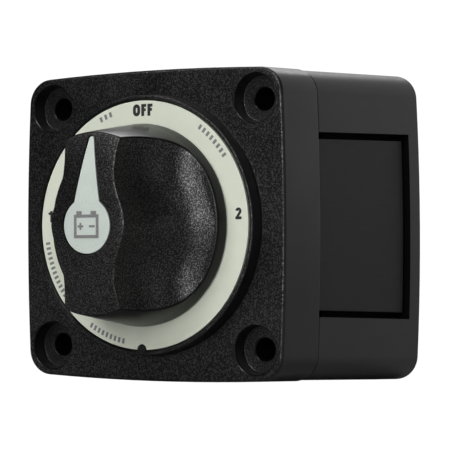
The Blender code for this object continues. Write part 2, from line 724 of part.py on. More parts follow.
def make_contact_bridge():
    """Moving contact with two arms, each 45 degrees from the pointer."""
    low, high = at_depth(BRIDGE_DEPTHS[1]), at_depth(BRIDGE_DEPTHS[0])
    bridge = cylinder("contact_bridge", BRIDGE_HUB_RADIUS, low, high, parts, sides=36)
    arm_end = arc((ARM_REACH, 0.0), ARM_HALF_WIDTH, -90, 90, 12)
    arm_outline = [(0.0, -ARM_HALF_WIDTH)] + arm_end + [(0.0, ARM_HALF_WIDTH)]
    for number, angle in enumerate(ARM_ANGLES):
        arm = outline_prism(f"bridge_arm_{number}", arm_outline, low, high, guides)
        arm.rotation_euler = (0, 0, math.radians(angle))
        join(bridge, arm)
    key = BRIDGE_KEY + CLEARANCE
    cut(bridge, box("bridge_key_hole", (-key, -key, low - MM), (key, key, high + MM), guides))
    return finish(bridge, tinned_copper)


def helix(name, centre, radius, wire, low, high, turns):
    """A round-wire compression spring."""
    steps = 8 * turns
    curve = bpy.data.curves.new(name, "CURVE")
    curve.dimensions = "3D"
    curve.bevel_depth = wire
    curve.bevel_resolution = 2
    curve.use_fill_caps = True
    spline = curve.splines.new("POLY")
    spline.points.add(steps)
    for index, point in enumerate(spline.points):
        angle = 2 * math.pi * turns * index / steps
        height = low + wire + (high - low - 2 * wire) * index / steps
        point.co = (radius * math.cos(angle), radius * math.sin(angle), height, 1.0)
    spring = place(bpy.data.objects.new(name, curve), parts)
    spring.location = (*centre, 0.0)
    return finish(spring, stainless_steel)


def make_springs():
    """Two springs behind the moving contact, and one behind each detent ball."""
    for number, centre in enumerate(around(CONTACT_SPRING_ORBIT, ARM_ANGLES)):
        helix(f"contact_spring_{number + 1}", centre, 2.1 * MM, 0.3 * MM, at_depth(8.6 * MM),
              at_depth(4.9 * MM), 3)
    for number, centre in enumerate(around(DETENT_ORBIT, DETENT_ANGLES)):
        helix(f"detent_spring_{number + 1}", centre, 1.0 * MM, 0.15 * MM, at_depth(6.6 * MM),
              at_depth(5.8 * MM), 2)


def make_detent_balls():
    """Two balls that drop into dimples in the housing at each position."""
    for number, centre in enumerate(around(DETENT_ORBIT, DETENT_ANGLES)):
        shape = bmesh.new()
        bmesh.ops.create_uvsphere(shape, u_segments=10, v_segments=6, radius=DETENT_BALL_RADIUS)
        bmesh.ops.translate(shape, verts=shape.verts, vec=(0, 0, at_depth(4.2 * MM)))
        ball = object_from_bmesh(f"detent_ball_{number + 1}", shape, parts)
        ball.location = (*centre, 0.0)
        finish(ball, stainless_steel)


# ---------------------------------------------------------------- rear cover

def make_rear_cover():
    """Isolating cover behind the housing, with a cable window in each side and four corner posts."""
    front_depth = SEAM_DEPTH + CLEARANCE
    front_half = half_width_at(front_depth, COVER_INSET)
    cover = tapered_block("rear_cover", BACK_HALF_WIDTH, BODY_DEPTH, front_half, front_depth,
                          CORNER_RADIUS, parts, front_round=0.3 * MM, back_round=0.8 * MM)
    cavity = tapered_block("cover_cavity", BACK_HALF_WIDTH - COVER_WALL, BODY_DEPTH - COVER_WALL,
                           front_half - COVER_WALL, front_depth - MM, CORNER_RADIUS - COVER_WALL, guides)
    cut(cover, cavity)
    for number, centre in enumerate(corner_places()):
        join(cover, cylinder(f"post_{number}", POST_RADIUS, MM, at_depth(front_depth + POST_SETBACK), guides,
                             centre, 24))
        cut(cover, cylinder(f"post_hole_{number}", HOLE_RADIUS, -MM, at_depth(front_depth - MM), guides,
                            centre, 24))
    for side, angle in SIDES.items():
        frame = box(f"ledge_{side}",
                    (half_width_at(LEDGE_START_DEPTH) - 4.4 * MM, -WINDOW_HALF_HEIGHT - MM,
                     at_depth(WINDOW_END_DEPTH + MM)),
                    (half_width_at(LEDGE_START_DEPTH) - MM, WINDOW_HALF_HEIGHT + MM,
                     at_depth(LEDGE_START_DEPTH)), guides)
        window = box(f"window_{side}",
                     (half_width_at(0.0) - 3.0 * MM, -WINDOW_HALF_HEIGHT, at_depth(WINDOW_END_DEPTH)),
                     (BACK_HALF_WIDTH + 2 * MM, WINDOW_HALF_HEIGHT, at_depth(SEAM_DEPTH - MM)), guides)
        cut(window, tapered_block(f"ledge_face_{side}", BACK_HALF_WIDTH - LEDGE_SETBACK, BODY_DEPTH,
                                  front_half - LEDGE_SETBACK, front_depth - 2 * MM,
                                  CORNER_RADIUS - LEDGE_SETBACK, guides))
        passage_half = WINDOW_HALF_HEIGHT - LEDGE_WIDTH
        passage = box(f"passage_{side}",
                      (25 * MM, -passage_half, at_depth(WINDOW_END_DEPTH - LEDGE_WIDTH)),
                      (BACK_HALF_WIDTH + 2 * MM, passage_half, at_depth(SEAM_DEPTH - MM)), guides)
        splay(frame)
        splay(window)
        for shape in (frame, window, passage):
            shape.rotation_euler = (0, 0, math.radians(angle))
        window.modifiers[0].object.rotation_euler = (0, 0, math.radians(angle))
        join(cover, frame)
        cut(cover, window)
        cut(cover, passage)
    return finish(cover, black_plastic)


def make_side_plate(side, angle):
    """Removable plate that closes one cable window, set just below the cover's surface."""
    front_depth = SEAM_DEPTH + 2 * CLEARANCE
    front_half = half_width_at(front_depth, COVER_INSET)
    plate = tapered_block(f"side_plate_{side}", BACK_HALF_WIDTH - PLATE_RECESS, BODY_DEPTH,
                          front_half - PLATE_RECESS, front_depth, CORNER_RADIUS - PLATE_RECESS, parts)
    inner = PLATE_RECESS + PLATE_THICKNESS
    cut(plate, tapered_block(f"plate_inside_{side}", BACK_HALF_WIDTH - inner, BODY_DEPTH + MM,
                             front_half - inner, front_depth - MM, CORNER_RADIUS - inner, guides))
    half = WINDOW_HALF_HEIGHT - PLATE_GAP
    limits = box(f"plate_limits_{side}", (20 * MM, -half, at_depth(WINDOW_END_DEPTH - PLATE_GAP)),
                 (BACK_HALF_WIDTH + 2 * MM, half, at_depth(0.0)), guides)
    keep_inside(plate, splay(limits))
    legs = [limits]
    for number, along in enumerate((-PLATE_LEG_OFFSET, PLATE_LEG_OFFSET)):
        near = (PLATE_LEG_REACHES[0], along - PLATE_LEG_HALF_WIDTH, at_depth(PLATE_LEG_DEPTHS[1]))
        far = (PLATE_LEG_REACHES[1], along + PLATE_LEG_HALF_WIDTH, at_depth(PLATE_LEG_DEPTHS[0]))
        leg = box(f"plate_leg_{side}_{number}", near, far, guides)
        join(plate, leg)
        legs.append(leg)
    for shape in legs:
        shape.rotation_euler = (0, 0, math.radians(angle))
    return finish(plate, plate_plastic)


clear_scene()
parts = new_collection("battery_switch")
guides = new_collection("cutters")

black_plastic = new_material("black_plastic", (0.018, 0.018, 0.018), 0.55)
plate_plastic = new_material("plate_plastic", (0.012, 0.012, 0.012), 0.5)
base_plastic = new_material("base_plastic", (0.035, 0.035, 0.038), 0.6)
rotor_plastic = new_material("rotor_plastic", (0.75, 0.73, 0.68), 0.5)
pale_label = new_material("pale_label", (0.6, 0.63, 0.54), 0.45)
white_insert = new_material("white_insert", (0.68, 0.72, 0.7), 0.35)
seal_rubber = new_material("seal_rubber", (0.02, 0.02, 0.02), 0.8)
tinned_copper = new_material("tinned_copper", (0.72, 0.7, 0.66), 0.3, 1.0)
stainless_steel = new_material("stainless_steel", (0.62, 0.62, 0.63), 0.25, 1.0)

upright = bpy.data.objects.new("battery_switch_upright", None)
parts.objects.link(upright)

make_front_housing()
make_dial_ring()
make_contact_base()
make_base_gasket()
make_base_screws()
for stud_name, stud_place in STUD_PLACES.items():
    make_stud(stud_name, stud_place)
make_common_bus()
make_stud_nuts()
make_stud_lock_washers()

make_knob()
make_pointer_insert()
make_knob_screw()
make_rotor()
make_shaft_seal()
make_contact_bridge()
make_springs()
make_detent_balls()

make_rear_cover()
for plate_side, plate_angle in SIDES.items():
    make_side_plate(plate_side, plate_angle)

upright.rotation_euler = (math.radians(90), 0, 0)
bpy.context.view_layer.update()
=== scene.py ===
"""Looks of the square marine battery switch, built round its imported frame.

Every new piece is modelled lying on its back, with +Z out of the face and +Y towards OFF. It is then
stood up, so that the face looks along -Y and OFF is at the top. The origin is the centre of the back.
"""

import json
import math

import bmesh
import bpy
from mathutils import Matrix, Vector


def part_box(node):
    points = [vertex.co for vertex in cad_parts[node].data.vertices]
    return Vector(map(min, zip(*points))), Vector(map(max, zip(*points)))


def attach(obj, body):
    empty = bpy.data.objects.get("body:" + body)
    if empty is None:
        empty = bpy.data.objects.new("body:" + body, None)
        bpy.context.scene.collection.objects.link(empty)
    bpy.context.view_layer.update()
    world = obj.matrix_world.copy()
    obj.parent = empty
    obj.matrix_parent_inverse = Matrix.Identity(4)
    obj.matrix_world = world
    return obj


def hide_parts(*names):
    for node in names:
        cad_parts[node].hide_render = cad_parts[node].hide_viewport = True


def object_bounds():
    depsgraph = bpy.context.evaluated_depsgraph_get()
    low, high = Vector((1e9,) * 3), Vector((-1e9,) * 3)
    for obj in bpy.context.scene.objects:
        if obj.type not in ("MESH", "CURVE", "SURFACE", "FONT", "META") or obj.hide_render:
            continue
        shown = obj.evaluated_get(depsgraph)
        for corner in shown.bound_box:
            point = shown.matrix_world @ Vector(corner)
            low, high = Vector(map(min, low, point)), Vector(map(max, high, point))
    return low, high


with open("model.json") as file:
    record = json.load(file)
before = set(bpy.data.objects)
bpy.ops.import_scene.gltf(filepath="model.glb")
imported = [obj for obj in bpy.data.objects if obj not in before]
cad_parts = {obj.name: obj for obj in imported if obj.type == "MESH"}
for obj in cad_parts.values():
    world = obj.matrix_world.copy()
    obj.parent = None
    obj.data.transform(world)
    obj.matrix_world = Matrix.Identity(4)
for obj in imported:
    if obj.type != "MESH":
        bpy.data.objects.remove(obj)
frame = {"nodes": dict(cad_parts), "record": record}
cad_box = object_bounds()

MM = 0.001
STAND_UP = Matrix.Rotation(math.radians(90), 4, "X")
CLEARANCE = 0.3 * MM


def front_of(node):
    """How far a node reaches in front of the back face."""
    return -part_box(node)[0].y


def half_width_of(node):
    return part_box(node)[1].x


def centre_of(node):
    """Where a node stands across the face, as modelled lying on its back."""
    low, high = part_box(node)
    return (low.x + high.x) / 2, (low.z + high.z) / 2


# Body: a rounded square that widens evenly from its face to its back.
BOSS_HEIGHT = 3.45 * MM
BODY_DEPTH = front_of("front_housing") - BOSS_HEIGHT
SEAM_DEPTH = BODY_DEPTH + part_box("front_housing")[1].y
FACE_HALF_WIDTH = 32.57 * MM
BACK_HALF_WIDTH = 34.93 * MM
SIDE_BOW_RADIUS = 566 * MM
CORNER_RADIUS = 5.5 * MM
COVER_INSET = 0.2 * MM
COVER_WALL = 2.2 * MM
COVER_SKIN = 0.9 * MM
FACE_ROUND = 0.6 * MM
SEAM_ROUND = 0.35 * MM
BACK_ROUND = 0.8 * MM

# Mounting holes.
HOLE_SPACING = 51.2 * MM
HOLE_RADIUS = 2.35 * MM
COUNTERBORE_RADIUS = 4.98 * MM
COUNTERBORE_DEPTH = 3.7 * MM
POST_RADIUS = 5.0 * MM
POST_SETBACK = 2.5 * MM

# Dial.
BOSS_RADIUS = 27.1 * MM
RING_RADIUS = half_width_of("dial_ring")
RING_BORE_RADIUS = 9.0 * MM
RING_HEIGHT = front_of("dial_ring") - BODY_DEPTH
RING_THICKNESS = 0.7 * MM
KEY_RADIUS = 0.9 * MM
MARK_HEIGHT = 0.03 * MM
POSITION_ANGLE = 85

# Knob, measured from the ring's face.
KNOB_BASE_RADIUS = half_width_of("knob")
KNOB_TOP_RADIUS = 18.5 * MM
KNOB_HEIGHT = 19.8 * MM
DOME_RADIUS = 80 * MM
SCOOP_FLOOR = 3.3 * MM
SCOOP_REACH = 11 * MM
SWELL_START = 0.5
SWELL_HEIGHT = 0.22 * MM
GRIP_WAIST = 5.9 * MM
GRIP_BULGE = 3.2 * MM
GRIP_BULGE_LENGTH = 6.6 * MM
GRIP_FLARE = 1.3 * MM
KNOB_EDGE_ROUND = 0.32 * MM
KNOB_WALL_BAND = 0.26 * MM
SOCKET_HALF_WIDTH = 3.8 * MM
SOCKET_TOP = 12.3 * MM
INSERT_RADIUS = 5.6 * MM
INSERT_OFFSET = -0.4 * MM
INSERT_NECK = 3.05 * MM
INSERT_TIP_RADIUS = 0.55 * MM
INSERT_TIP_REACH = 17.0 * MM
INSERT_RECESS = 0.2 * MM
INSERT_THICKNESS = 0.6 * MM
BELOW_CROWN = 14 * MM
ABOVE_CROWN = 22 * MM

# Inside the housing.
CAVITY_RADIUS = 22.9 * MM
CAVITY_FRONT = 2.5 * MM
BASE_RADIUS = half_width_of("contact_base")
BASE_FRONT = 9.3 * MM
BEARING_RADIUS = 5.6 * MM

# Cable windows in the rear cover and their side plates.
WINDOW_HALF_HEIGHT = 19.13 * MM
WINDOW_END_DEPTH = 51.6 * MM
WINDOW_SPLAY = 0.072
PLATE_GAP = 1.3 * MM
PLATE_RECESS = 1.0 * MM
PLATE_THICKNESS = 1.6 * MM
LEDGE_WIDTH = 3.0 * MM
LEDGE_START_DEPTH = 19.5 * MM
LEDGE_SETBACK = 2.9 * MM
SIDES = {"right": 0, "top": 90, "left": 180, "bottom": 270}

# Studs, three eighths of an inch with 16 threads to the inch.
STUD_RADIUS = 4.76 * MM
THREAD_PITCH = 25.4 / 16 * MM
THREAD_DEPTH = 0.95 * MM
THREAD_START_DEPTH = 16.5 * MM


def at_depth(depth):
    """Height above the back face of a plane that lies this far behind the face."""
    return BODY_DEPTH - depth


def above_ring(height):
    """Height above the back face of a plane that lies this far in front of the dial ring."""
    return BODY_DEPTH + RING_HEIGHT + height


def half_width_at(depth, inset=0.0):
    """Half the body's width at a depth behind the face."""
    widening = (BACK_HALF_WIDTH - FACE_HALF_WIDTH) / BODY_DEPTH
    return FACE_HALF_WIDTH + widening * depth - inset


# ---------------------------- shape helpers

def add_object(name, data):
    item = bpy.data.objects.new(name, data)
    bpy.context.scene.collection.objects.link(item)
    return item


def object_from_bmesh(name, shape):
    bmesh.ops.recalc_face_normals(shape, faces=shape.faces)
    mesh_data = bpy.data.meshes.new(name)
    shape.to_mesh(mesh_data)
    shape.free()
    return add_object(name, mesh_data)


def point_at(centre, radius, degrees):
    angle = math.radians(degrees)
    return centre[0] + radius * math.cos(angle), centre[1] + radius * math.sin(angle)


def arc(centre, radius, start, end, segments):
    """Points along an arc, from one angle to another, both in degrees."""
    step = (end - start) / segments
    return [point_at(centre, radius, start + step * index) for index in range(segments + 1)]


def circle(centre, radius, sides):
    return arc(centre, radius, 0, 360 - 360 / sides, sides - 1)


def extrude(shape, outline, low, lift):
    """Raise a solid from a flat outline of (x, y) points, and give the vertices of its top."""
    face = shape.faces.new([shape.verts.new((x, y, low)) for x, y in outline])
    raised = bmesh.ops.extrude_face_region(shape, geom=[face])["geom"]
    top = [element for element in raised if isinstance(element, bmesh.types.BMVert)]
    bmesh.ops.translate(shape, verts=top, vec=(0, 0, lift))
    return top


def skin(shape, rows, closed=False):
    """Faces between neighbouring rows of vertices; a closed row runs back to its own start."""
    for upper, lower in zip(rows, rows[1:]):
        for index in range(len(upper) if closed else len(upper) - 1):
            after = (index + 1) % len(upper)
            corners = list(dict.fromkeys([upper[index], upper[after], lower[after], lower[index]]))
            if len(corners) > 2:
                shape.faces.new(corners)


def prism(name, outline, low, high):
    """A solid with a flat outline of (x, y) points, between two heights."""
    shape = bmesh.new()
    extrude(shape, outline, low, high - low)
    return object_from_bmesh(name, shape)


def cylinder(name, radius, low, high, centre=(0.0, 0.0), sides=96):
    return prism(name, circle(centre, radius, sides), low, high)


def block(name, low, high):
    corners = [(low[0], low[1]), (high[0], low[1]), (high[0], high[1]), (low[0], high[1])]
    return prism(name, corners, low[2], high[2])


def turned(name, profile, steps, centre=(0.0, 0.0)):
    """Turn a profile of (radius, height) points about a vertical axis through the centre.

    A profile that starts and ends on the axis makes a solid; any other profile is closed into a ring.
    """
    shape = bmesh.new()
    rings = []
    for radius, height in profile:
        if radius == 0.0:
            rings.append([shape.verts.new((*centre, height))] * steps)
        else:
            rings.append([shape.verts.new((x, y, height)) for x, y in circle(centre, radius, steps)])
    if profile[0][0] > 0.0:
        rings.append(rings[0])
    skin(shape, rings, closed=True)
    return object_from_bmesh(name, shape)


def rounded(profile, radius, segments=3):
    """Round the corners of a profile: a corner given with True as its third value gets a curve."""
    points = []
    for index, (x, y, *soft) in enumerate(profile):
        if not soft:
            points.append((x, y))
            continue
        before = Vector(profile[index - 1][:2])
        after = Vector(profile[(index + 1) % len(profile)][:2])
        corner = Vector((x, y))
        reach_in = min(radius, (before - corner).length / 2.1)
        reach_out = min(radius, (after - corner).length / 2.1)
        start = corner + (before - corner).normalized() * reach_in
        end = corner + (after - corner).normalized() * reach_out
        for step in range(segments + 1):
            t = step / segments
            point = start * (1 - t) ** 2 + corner * 2 * t * (1 - t) + end * t**2
            points.append((point.x, point.y))
    return points


def rounded_square(half_width, corner_radius):
    """A square with slightly bowed sides, whose corner arcs run smoothly into the sides."""
    steps = 10
    reach = half_width - SIDE_BOW_RADIUS
    to_corner = SIDE_BOW_RADIUS - corner_radius
    corner = (reach + math.sqrt(2 * to_corner**2 - reach**2)) / 2
    half_angle = math.degrees(math.atan2(corner, corner - reach))
    quarter = arc((reach, 0.0), SIDE_BOW_RADIUS, -half_angle, half_angle, steps)
    quarter += arc((corner, corner), corner_radius, half_angle, 90 - half_angle, steps)[1:-1]
    points = []
    for _ in range(4):
        points += quarter
        quarter = [(-y, x) for x, y in quarter]
    return points


def tapered_block(name, back_half, back_depth, front_half, front_depth, corner,
                  front_round=0.0, back_round=0.0):
    """A rounded square block that narrows from its back to its front, with rounded rims."""
    low, high = at_depth(back_depth), at_depth(front_depth)
    shape = bmesh.new()
    front = extrude(shape, rounded_square(back_half, corner), low, high - low)
    narrowing = front_half / back_half
    bmesh.ops.scale(shape, verts=front, vec=(narrowing, narrowing, 1.0))
    for height, radius in ((high, front_round), (low, back_round)):
        if radius == 0.0:
            continue
        rim = [e for e in shape.edges if all(abs(v.co.z - height) < 0.01 * MM for v in e.verts)]
        bmesh.ops.bevel(shape, geom=rim, offset=radius, segments=5, profile=0.5, affect="EDGES")
    return object_from_bmesh(name, shape)


def cover_block(name, inset, back_depth, front_half, front_depth):
    """The rear cover's rounded square block, drawn in evenly by an inset."""
    return tapered_block(name, BACK_HALF_WIDTH - inset, back_depth, front_half - inset, front_depth,
                         CORNER_RADIUS - inset)


def bake(item):
    """Replace an object's mesh by its evaluated one, and drop its modifiers."""
    bpy.context.view_layer.update()
    evaluated = item.evaluated_get(bpy.context.evaluated_depsgraph_get())
    mesh_data = bpy.data.meshes.new_from_object(evaluated)
    item.modifiers.clear()
    item.data = mesh_data


def combine(item, others, operation):
    """Apply other shapes to an object with Booleans, one after another, and remove them."""
    for other in others:
        modifier = item.modifiers.new(operation.title(), "BOOLEAN")
        modifier.operation = operation
        modifier.solver = "EXACT"
        modifier.object = other
    bake(item)
    for other in others:
        bpy.data.objects.remove(other, do_unlink=True)


def cut(item, *others):
    combine(item, others, "DIFFERENCE")


def join(item, *others):
    combine(item, others, "UNION")


def keep_inside(item, *others):
    combine(item, others, "INTERSECT")


def splay(item):
    """Widen a window's shape evenly from the seam to the window's end, as the body widens."""
    for vertex in item.data.vertices:
        share = (at_depth(SEAM_DEPTH) - vertex.co.z) / (WINDOW_END_DEPTH - SEAM_DEPTH)
        vertex.co.y *= 1 + WINDOW_SPLAY * share
    return item


def turn_about_axis(item, degrees):
    item.data.transform(Matrix.Rotation(math.radians(degrees), 4, "Z"))
    return item


def corner_places():
    half = HOLE_SPACING / 2
    return [(x, y) for x in (-half, half) for y in (-half, half)]


def finish_piece(item, material, body, replaces=(), sharp_degrees=35):
    """Stand a finished piece up, shade it, and hang it on its body."""
    item.data.transform(STAND_UP)
    item.data.materials.clear()
    item.data.materials.append(material)
    for polygon in item.data.polygons:
        polygon.material_index = 0
    item.data.shade_smooth()
    item.data.set_sharp_from_angle(angle=math.radians(sharp_degrees))
    weighted = item.modifiers.new("Even shading", "WEIGHTED_NORMAL")
    weighted.keep_sharp = True
    weighted.weight = 100
    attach(item, body)
    if replaces:
        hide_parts(*replaces)


# ---------------------------- materials

def node(tree, kind, inputs=None, **settings):
    """Add a shader node, set its properties, and set or link its inputs."""
    made = tree.nodes.new(kind)
    for name, value in settings.items():
        setattr(made, name, value)
    for name, value in (inputs or {}).items():
        if isinstance(value, bpy.types.NodeSocket):
            tree.links.new(value, made.inputs[name])
        else:
            made.inputs[name].default_value = value
    return made


def new_surface(name):
    material = bpy.data.materials.new(name)
    material.use_nodes = True
    tree = material.node_tree
    return material, tree, tree.nodes["Principled BSDF"]


def object_place(tree):
    return node(tree, "ShaderNodeTexCoord").outputs["Object"]


def stretched(tree, place, scale):
    """The place, scaled along its axes; a pattern is drawn out where the scale is under one."""
    return node(tree, "ShaderNodeMapping", {"Vector": place, "Scale": scale}).outputs["Vector"]


def noise(tree, place, size, detail=2.0, roughness=0.5):
    """A noise whose features are about this many metres across."""
    settings = {"Vector": place, "Scale": 1 / size, "Detail": detail, "Roughness": roughness}
    return node(tree, "ShaderNodeTexNoise", settings).outputs["Fac"]


def spread(tree, value, low, high, to_low=0.0, to_high=1.0):
    """Map a value's range onto another, without going past its ends."""
    settings = {"Value": value, "From Min": low, "From Max": high, "To Min": to_low, "To Max": to_high}
    return node(tree, "ShaderNodeMapRange", settings).outputs["Result"]


def multiply(tree, first, second):
    return node(tree, "ShaderNodeMath", {0: first, 1: second}, operation="MULTIPLY").outputs["Value"]


def blend_colors(tree, share, first, second):
    mix = node(tree, "ShaderNodeMix", data_type="RGBA")
    color_inputs = mix.inputs[6], mix.inputs[7]
    for socket, value in zip((mix.inputs["Factor"], *color_inputs), (share, first, second)):
        if isinstance(value, bpy.types.NodeSocket):
            tree.links.new(value, socket)
        else:
            socket.default_value = value
    return mix.outputs[2]


def grey(value):
    return value, value, value, 1.0


def link_surface(tree, shader, color, roughness):
    tree.links.new(color, shader.inputs["Base Color"])
    tree.links.new(roughness, shader.inputs["Roughness"])


def bump(tree, shader, height, distance, strength=1.0):
    made = node(tree, "ShaderNodeBump", {"Height": height, "Distance": distance, "Strength": strength})
    tree.links.new(made.outputs["Normal"], shader.inputs["Normal"])


def grained_plastic(name, depth, roughness, sparkle, face_only=False):
    """Black moulded plastic with a spark-eroded grain: soft peaks, and specks where the specular level is
    raised and the colour is lightened as painted glints.

    With face_only the grain fades out on the sides, which are moulded smooth.
    """
    dark, light, grain = 0.0025, 0.01, 0.3 * MM
    material, tree, shader = new_surface(name)
    place = object_place(tree)
    height = noise(tree, place, grain, 1.5)
    patches = noise(tree, place, 9 * MM)
    # Specks that lighten the colour as painted glints and also raise the specular level.
    painted_glint_and_gloss_specks = spread(tree, noise(tree, place, grain * 0.9, 0.0), 0.45, 0.7)
    gloss = spread(tree, painted_glint_and_gloss_specks, 0.0, 1.0, -0.4 * sparkle, sparkle)
    if face_only:
        normal = node(tree, "ShaderNodeTexCoord").outputs["Normal"]
        outward = node(tree, "ShaderNodeSeparateXYZ", {"Vector": normal}).outputs["Y"]
        on_face = spread(tree, outward, -0.6, -0.95)
        height, painted_glint_and_gloss_specks, gloss = [multiply(tree, value, on_face) for value in (height, painted_glint_and_gloss_specks, gloss)]
    # Painted glints: at the specks the colour goes from dark to the lighter grey.
    color = blend_colors(tree, painted_glint_and_gloss_specks, grey(dark), grey(light))
    color = blend_colors(tree, spread(tree, patches, 0.35, 0.7, 0.0, 0.25), color, grey(dark * 1.8))
    rough = spread(tree, patches, 0.3, 0.7, roughness - 0.04, roughness + 0.06)
    link_surface(tree, shader, color, rough)
    specular = node(tree, "ShaderNodeMath", {0: gloss, 1: 0.5}, operation="ADD").outputs["Value"]
    tree.links.new(specular, shader.inputs["Specular IOR Level"])
    bump(tree, shader, height, depth)
    return material


def satin_plastic(name, value, roughness, specular=0.5):
    """Plastic or rubber moulded smooth, with a faint flow pattern and fine rubbing marks."""
    material, tree, shader = new_surface(name)
    place = object_place(tree)
    flow = noise(tree, place, 12 * MM, 3.0, 0.6)
    fine = noise(tree, place, 0.25 * MM)
    color = blend_colors(tree, spread(tree, flow, 0.3, 0.7), grey(value * 0.85), grey(value * 1.25))
    color = blend_colors(tree, spread(tree, fine, 0.55, 0.8, 0.0, 0.3), color, grey(value * 2.2))
    along_depth = (1.0, 0.08, 1.0)
    rubbing = noise(tree, stretched(tree, place, along_depth), 0.5 * MM)
    rough = spread(tree, rubbing, 0.3, 0.7, roughness - 0.015, roughness + 0.02)
    link_surface(tree, shader, color, rough)
    shader.inputs["Specular IOR Level"].default_value = specular
    bump(tree, shader, fine, 0.006 * MM)
    return material


def printed_plate(name, color, shade, roughness, coat):
    """Pale printed plastic: even colour with a slight mottle under a thin clear film."""
    material, tree, shader = new_surface(name)
    place = object_place(tree)
    mottle = noise(tree, place, 4 * MM, 3.0)
    fibre = noise(tree, place, 0.3 * MM)
    base = blend_colors(tree, spread(tree, mottle, 0.35, 0.65), (*color, 1.0), (*shade, 1.0))
    rough = spread(tree, fibre, 0.3, 0.7, roughness - 0.05, roughness + 0.05)
    link_surface(tree, shader, base, rough)
    shader.inputs["Coat Weight"].default_value = coat
    shader.inputs["Coat Roughness"].default_value = 0.25
    bump(tree, shader, fibre, 0.004 * MM)
    return material


def print_ink(name, value):
    """Screen-printed ink, slightly uneven in density."""
    material, tree, shader = new_surface(name)
    density = noise(tree, object_place(tree), 0.2 * MM)
    color = blend_colors(tree, spread(tree, density, 0.3, 0.7), grey(value * 0.85), grey(value * 1.2))
    link_surface(tree, shader, color, spread(tree, density, 0.3, 0.7, 0.45, 0.6))
    return material


def metal(name, color, shade, roughness, grain, stretch=(1.0, 1.0, 1.0)):
    """Metal with a mottled tint and machining marks."""
    material, tree, shader = new_surface(name)
    place = object_place(tree)
    marks = noise(tree, stretched(tree, place, stretch), grain, 3.0)
    mottle = noise(tree, place, 3 * MM, 3.0)
    base = blend_colors(tree, spread(tree, mottle, 0.35, 0.7), (*color, 1.0), (*shade, 1.0))
    rough = spread(tree, marks, 0.3, 0.7, roughness - 0.03, roughness + 0.05)
    link_surface(tree, shader, base, rough)
    shader.inputs["Metallic"].default_value = 1.0
    bump(tree, shader, marks, 0.003 * MM, 0.6)
    return material


# ---------------------------- housing and dial

def counterbored_hole(centre):
    """Cutter for a mounting hole: a countersunk lip, a counterbore and a hole right through."""
    lip = 0.25 * MM
    profile = [
        (0.0, at_depth(-MM)),
        (COUNTERBORE_RADIUS + lip, at_depth(-MM)),
        (COUNTERBORE_RADIUS + lip, at_depth(0.0)),
        (COUNTERBORE_RADIUS, at_depth(lip), True),
        (COUNTERBORE_RADIUS, at_depth(COUNTERBORE_DEPTH), True),
        (HOLE_RADIUS + lip, at_depth(COUNTERBORE_DEPTH)),
        (HOLE_RADIUS, at_depth(COUNTERBORE_DEPTH + lip)),
        (HOLE_RADIUS, -MM),
        (0.0, -MM),
    ]
    return turned("hole", rounded(profile, 0.3 * MM), 64, centre)


def make_housing():
    """Front housing with the dial boss, the rotor cavity and four counterbored corners."""
    housing = tapered_block("housing_shell", half_width_at(SEAM_DEPTH), SEAM_DEPTH, FACE_HALF_WIDTH, 0.0,
                            CORNER_RADIUS, FACE_ROUND, SEAM_ROUND)
    boss_top = at_depth(-BOSS_HEIGHT)
    draft, foot_flare, foot_height, boss_round = 0.1 * MM, 0.6 * MM, 0.5 * MM, 0.35 * MM
    boss = turned("boss", rounded([
        (0.0, boss_top),
        (BOSS_RADIUS, boss_top, True),
        (BOSS_RADIUS + draft, at_depth(-foot_height), True),
        (BOSS_RADIUS + foot_flare, at_depth(MM)),
        (0.0, at_depth(MM)),
    ], boss_round, 4), 192)
    join(housing, boss)
    recess_floor = above_ring(-RING_THICKNESS - CLEARANCE)
    rim = RING_RADIUS + CLEARANCE
    lead_in = 0.2 * MM
    recess = turned("recess", [
        (0.0, boss_top + MM),
        (rim + lead_in, boss_top + MM),
        (rim + lead_in, boss_top),
        (rim, boss_top - lead_in),
        (rim, recess_floor),
        (0.0, recess_floor),
    ], 192)
    cavity = turned("cavity", [
        (0.0, at_depth(CAVITY_FRONT)),
        (CAVITY_RADIUS, at_depth(CAVITY_FRONT)),
        (CAVITY_RADIUS, at_depth(BASE_FRONT - CLEARANCE)),
        (BASE_RADIUS + CLEARANCE, at_depth(BASE_FRONT - CLEARANCE)),
        (BASE_RADIUS + CLEARANCE, at_depth(SEAM_DEPTH + MM)),
        (0.0, at_depth(SEAM_DEPTH + MM)),
    ], 96)
    bore = cylinder("bore", BEARING_RADIUS, at_depth(CAVITY_FRONT + MM / 2), boss_top + MM)
    holes = [counterbored_hole(centre) for centre in corner_places()]
    cut(housing, recess, cavity, bore, *holes)
    key = cylinder("key", KEY_RADIUS, recess_floor - MM / 2, boss_top - 0.1 * MM,
                   (0.0, -RING_RADIUS), 32)
    join(housing, key)
    finish_piece(housing, housing_plastic, "housing", ["front_housing"], 30)


def make_dial():
    """Pale dial ring, keyed to the boss at six o'clock."""
    top, bottom = above_ring(0.0), above_ring(-RING_THICKNESS)
    ring = turned("dial_face", rounded([
        (RING_BORE_RADIUS, top),
        (RING_RADIUS, top, True),
        (RING_RADIUS, bottom),
        (RING_BORE_RADIUS, bottom),
    ], 0.12 * MM), 192)
    notch = cylinder("notch", KEY_RADIUS + CLEARANCE, bottom - MM, top + MM, (0.0, -RING_RADIUS), 32)
    cut(ring, notch)
    finish_piece(ring, dial_plastic, "housing", ["dial_ring"])


def stroke_bar(start, end, width):
    """Outline of a straight printed stroke between two points."""
    start, end = Vector(start), Vector(end)
    aside = (end - start).normalized().orthogonal() * width / 2
    return [tuple(start - aside), tuple(end - aside), tuple(end + aside), tuple(start + aside)]


def arc_band(centre, radius, start, end, width, segments=20):
    """Outline of a curved printed stroke; the radius is that of its middle line."""
    outer = arc(centre, radius + width / 2, start, end, segments)
    inner = arc(centre, radius - width / 2, start, end, segments)
    return outer + inner[::-1]


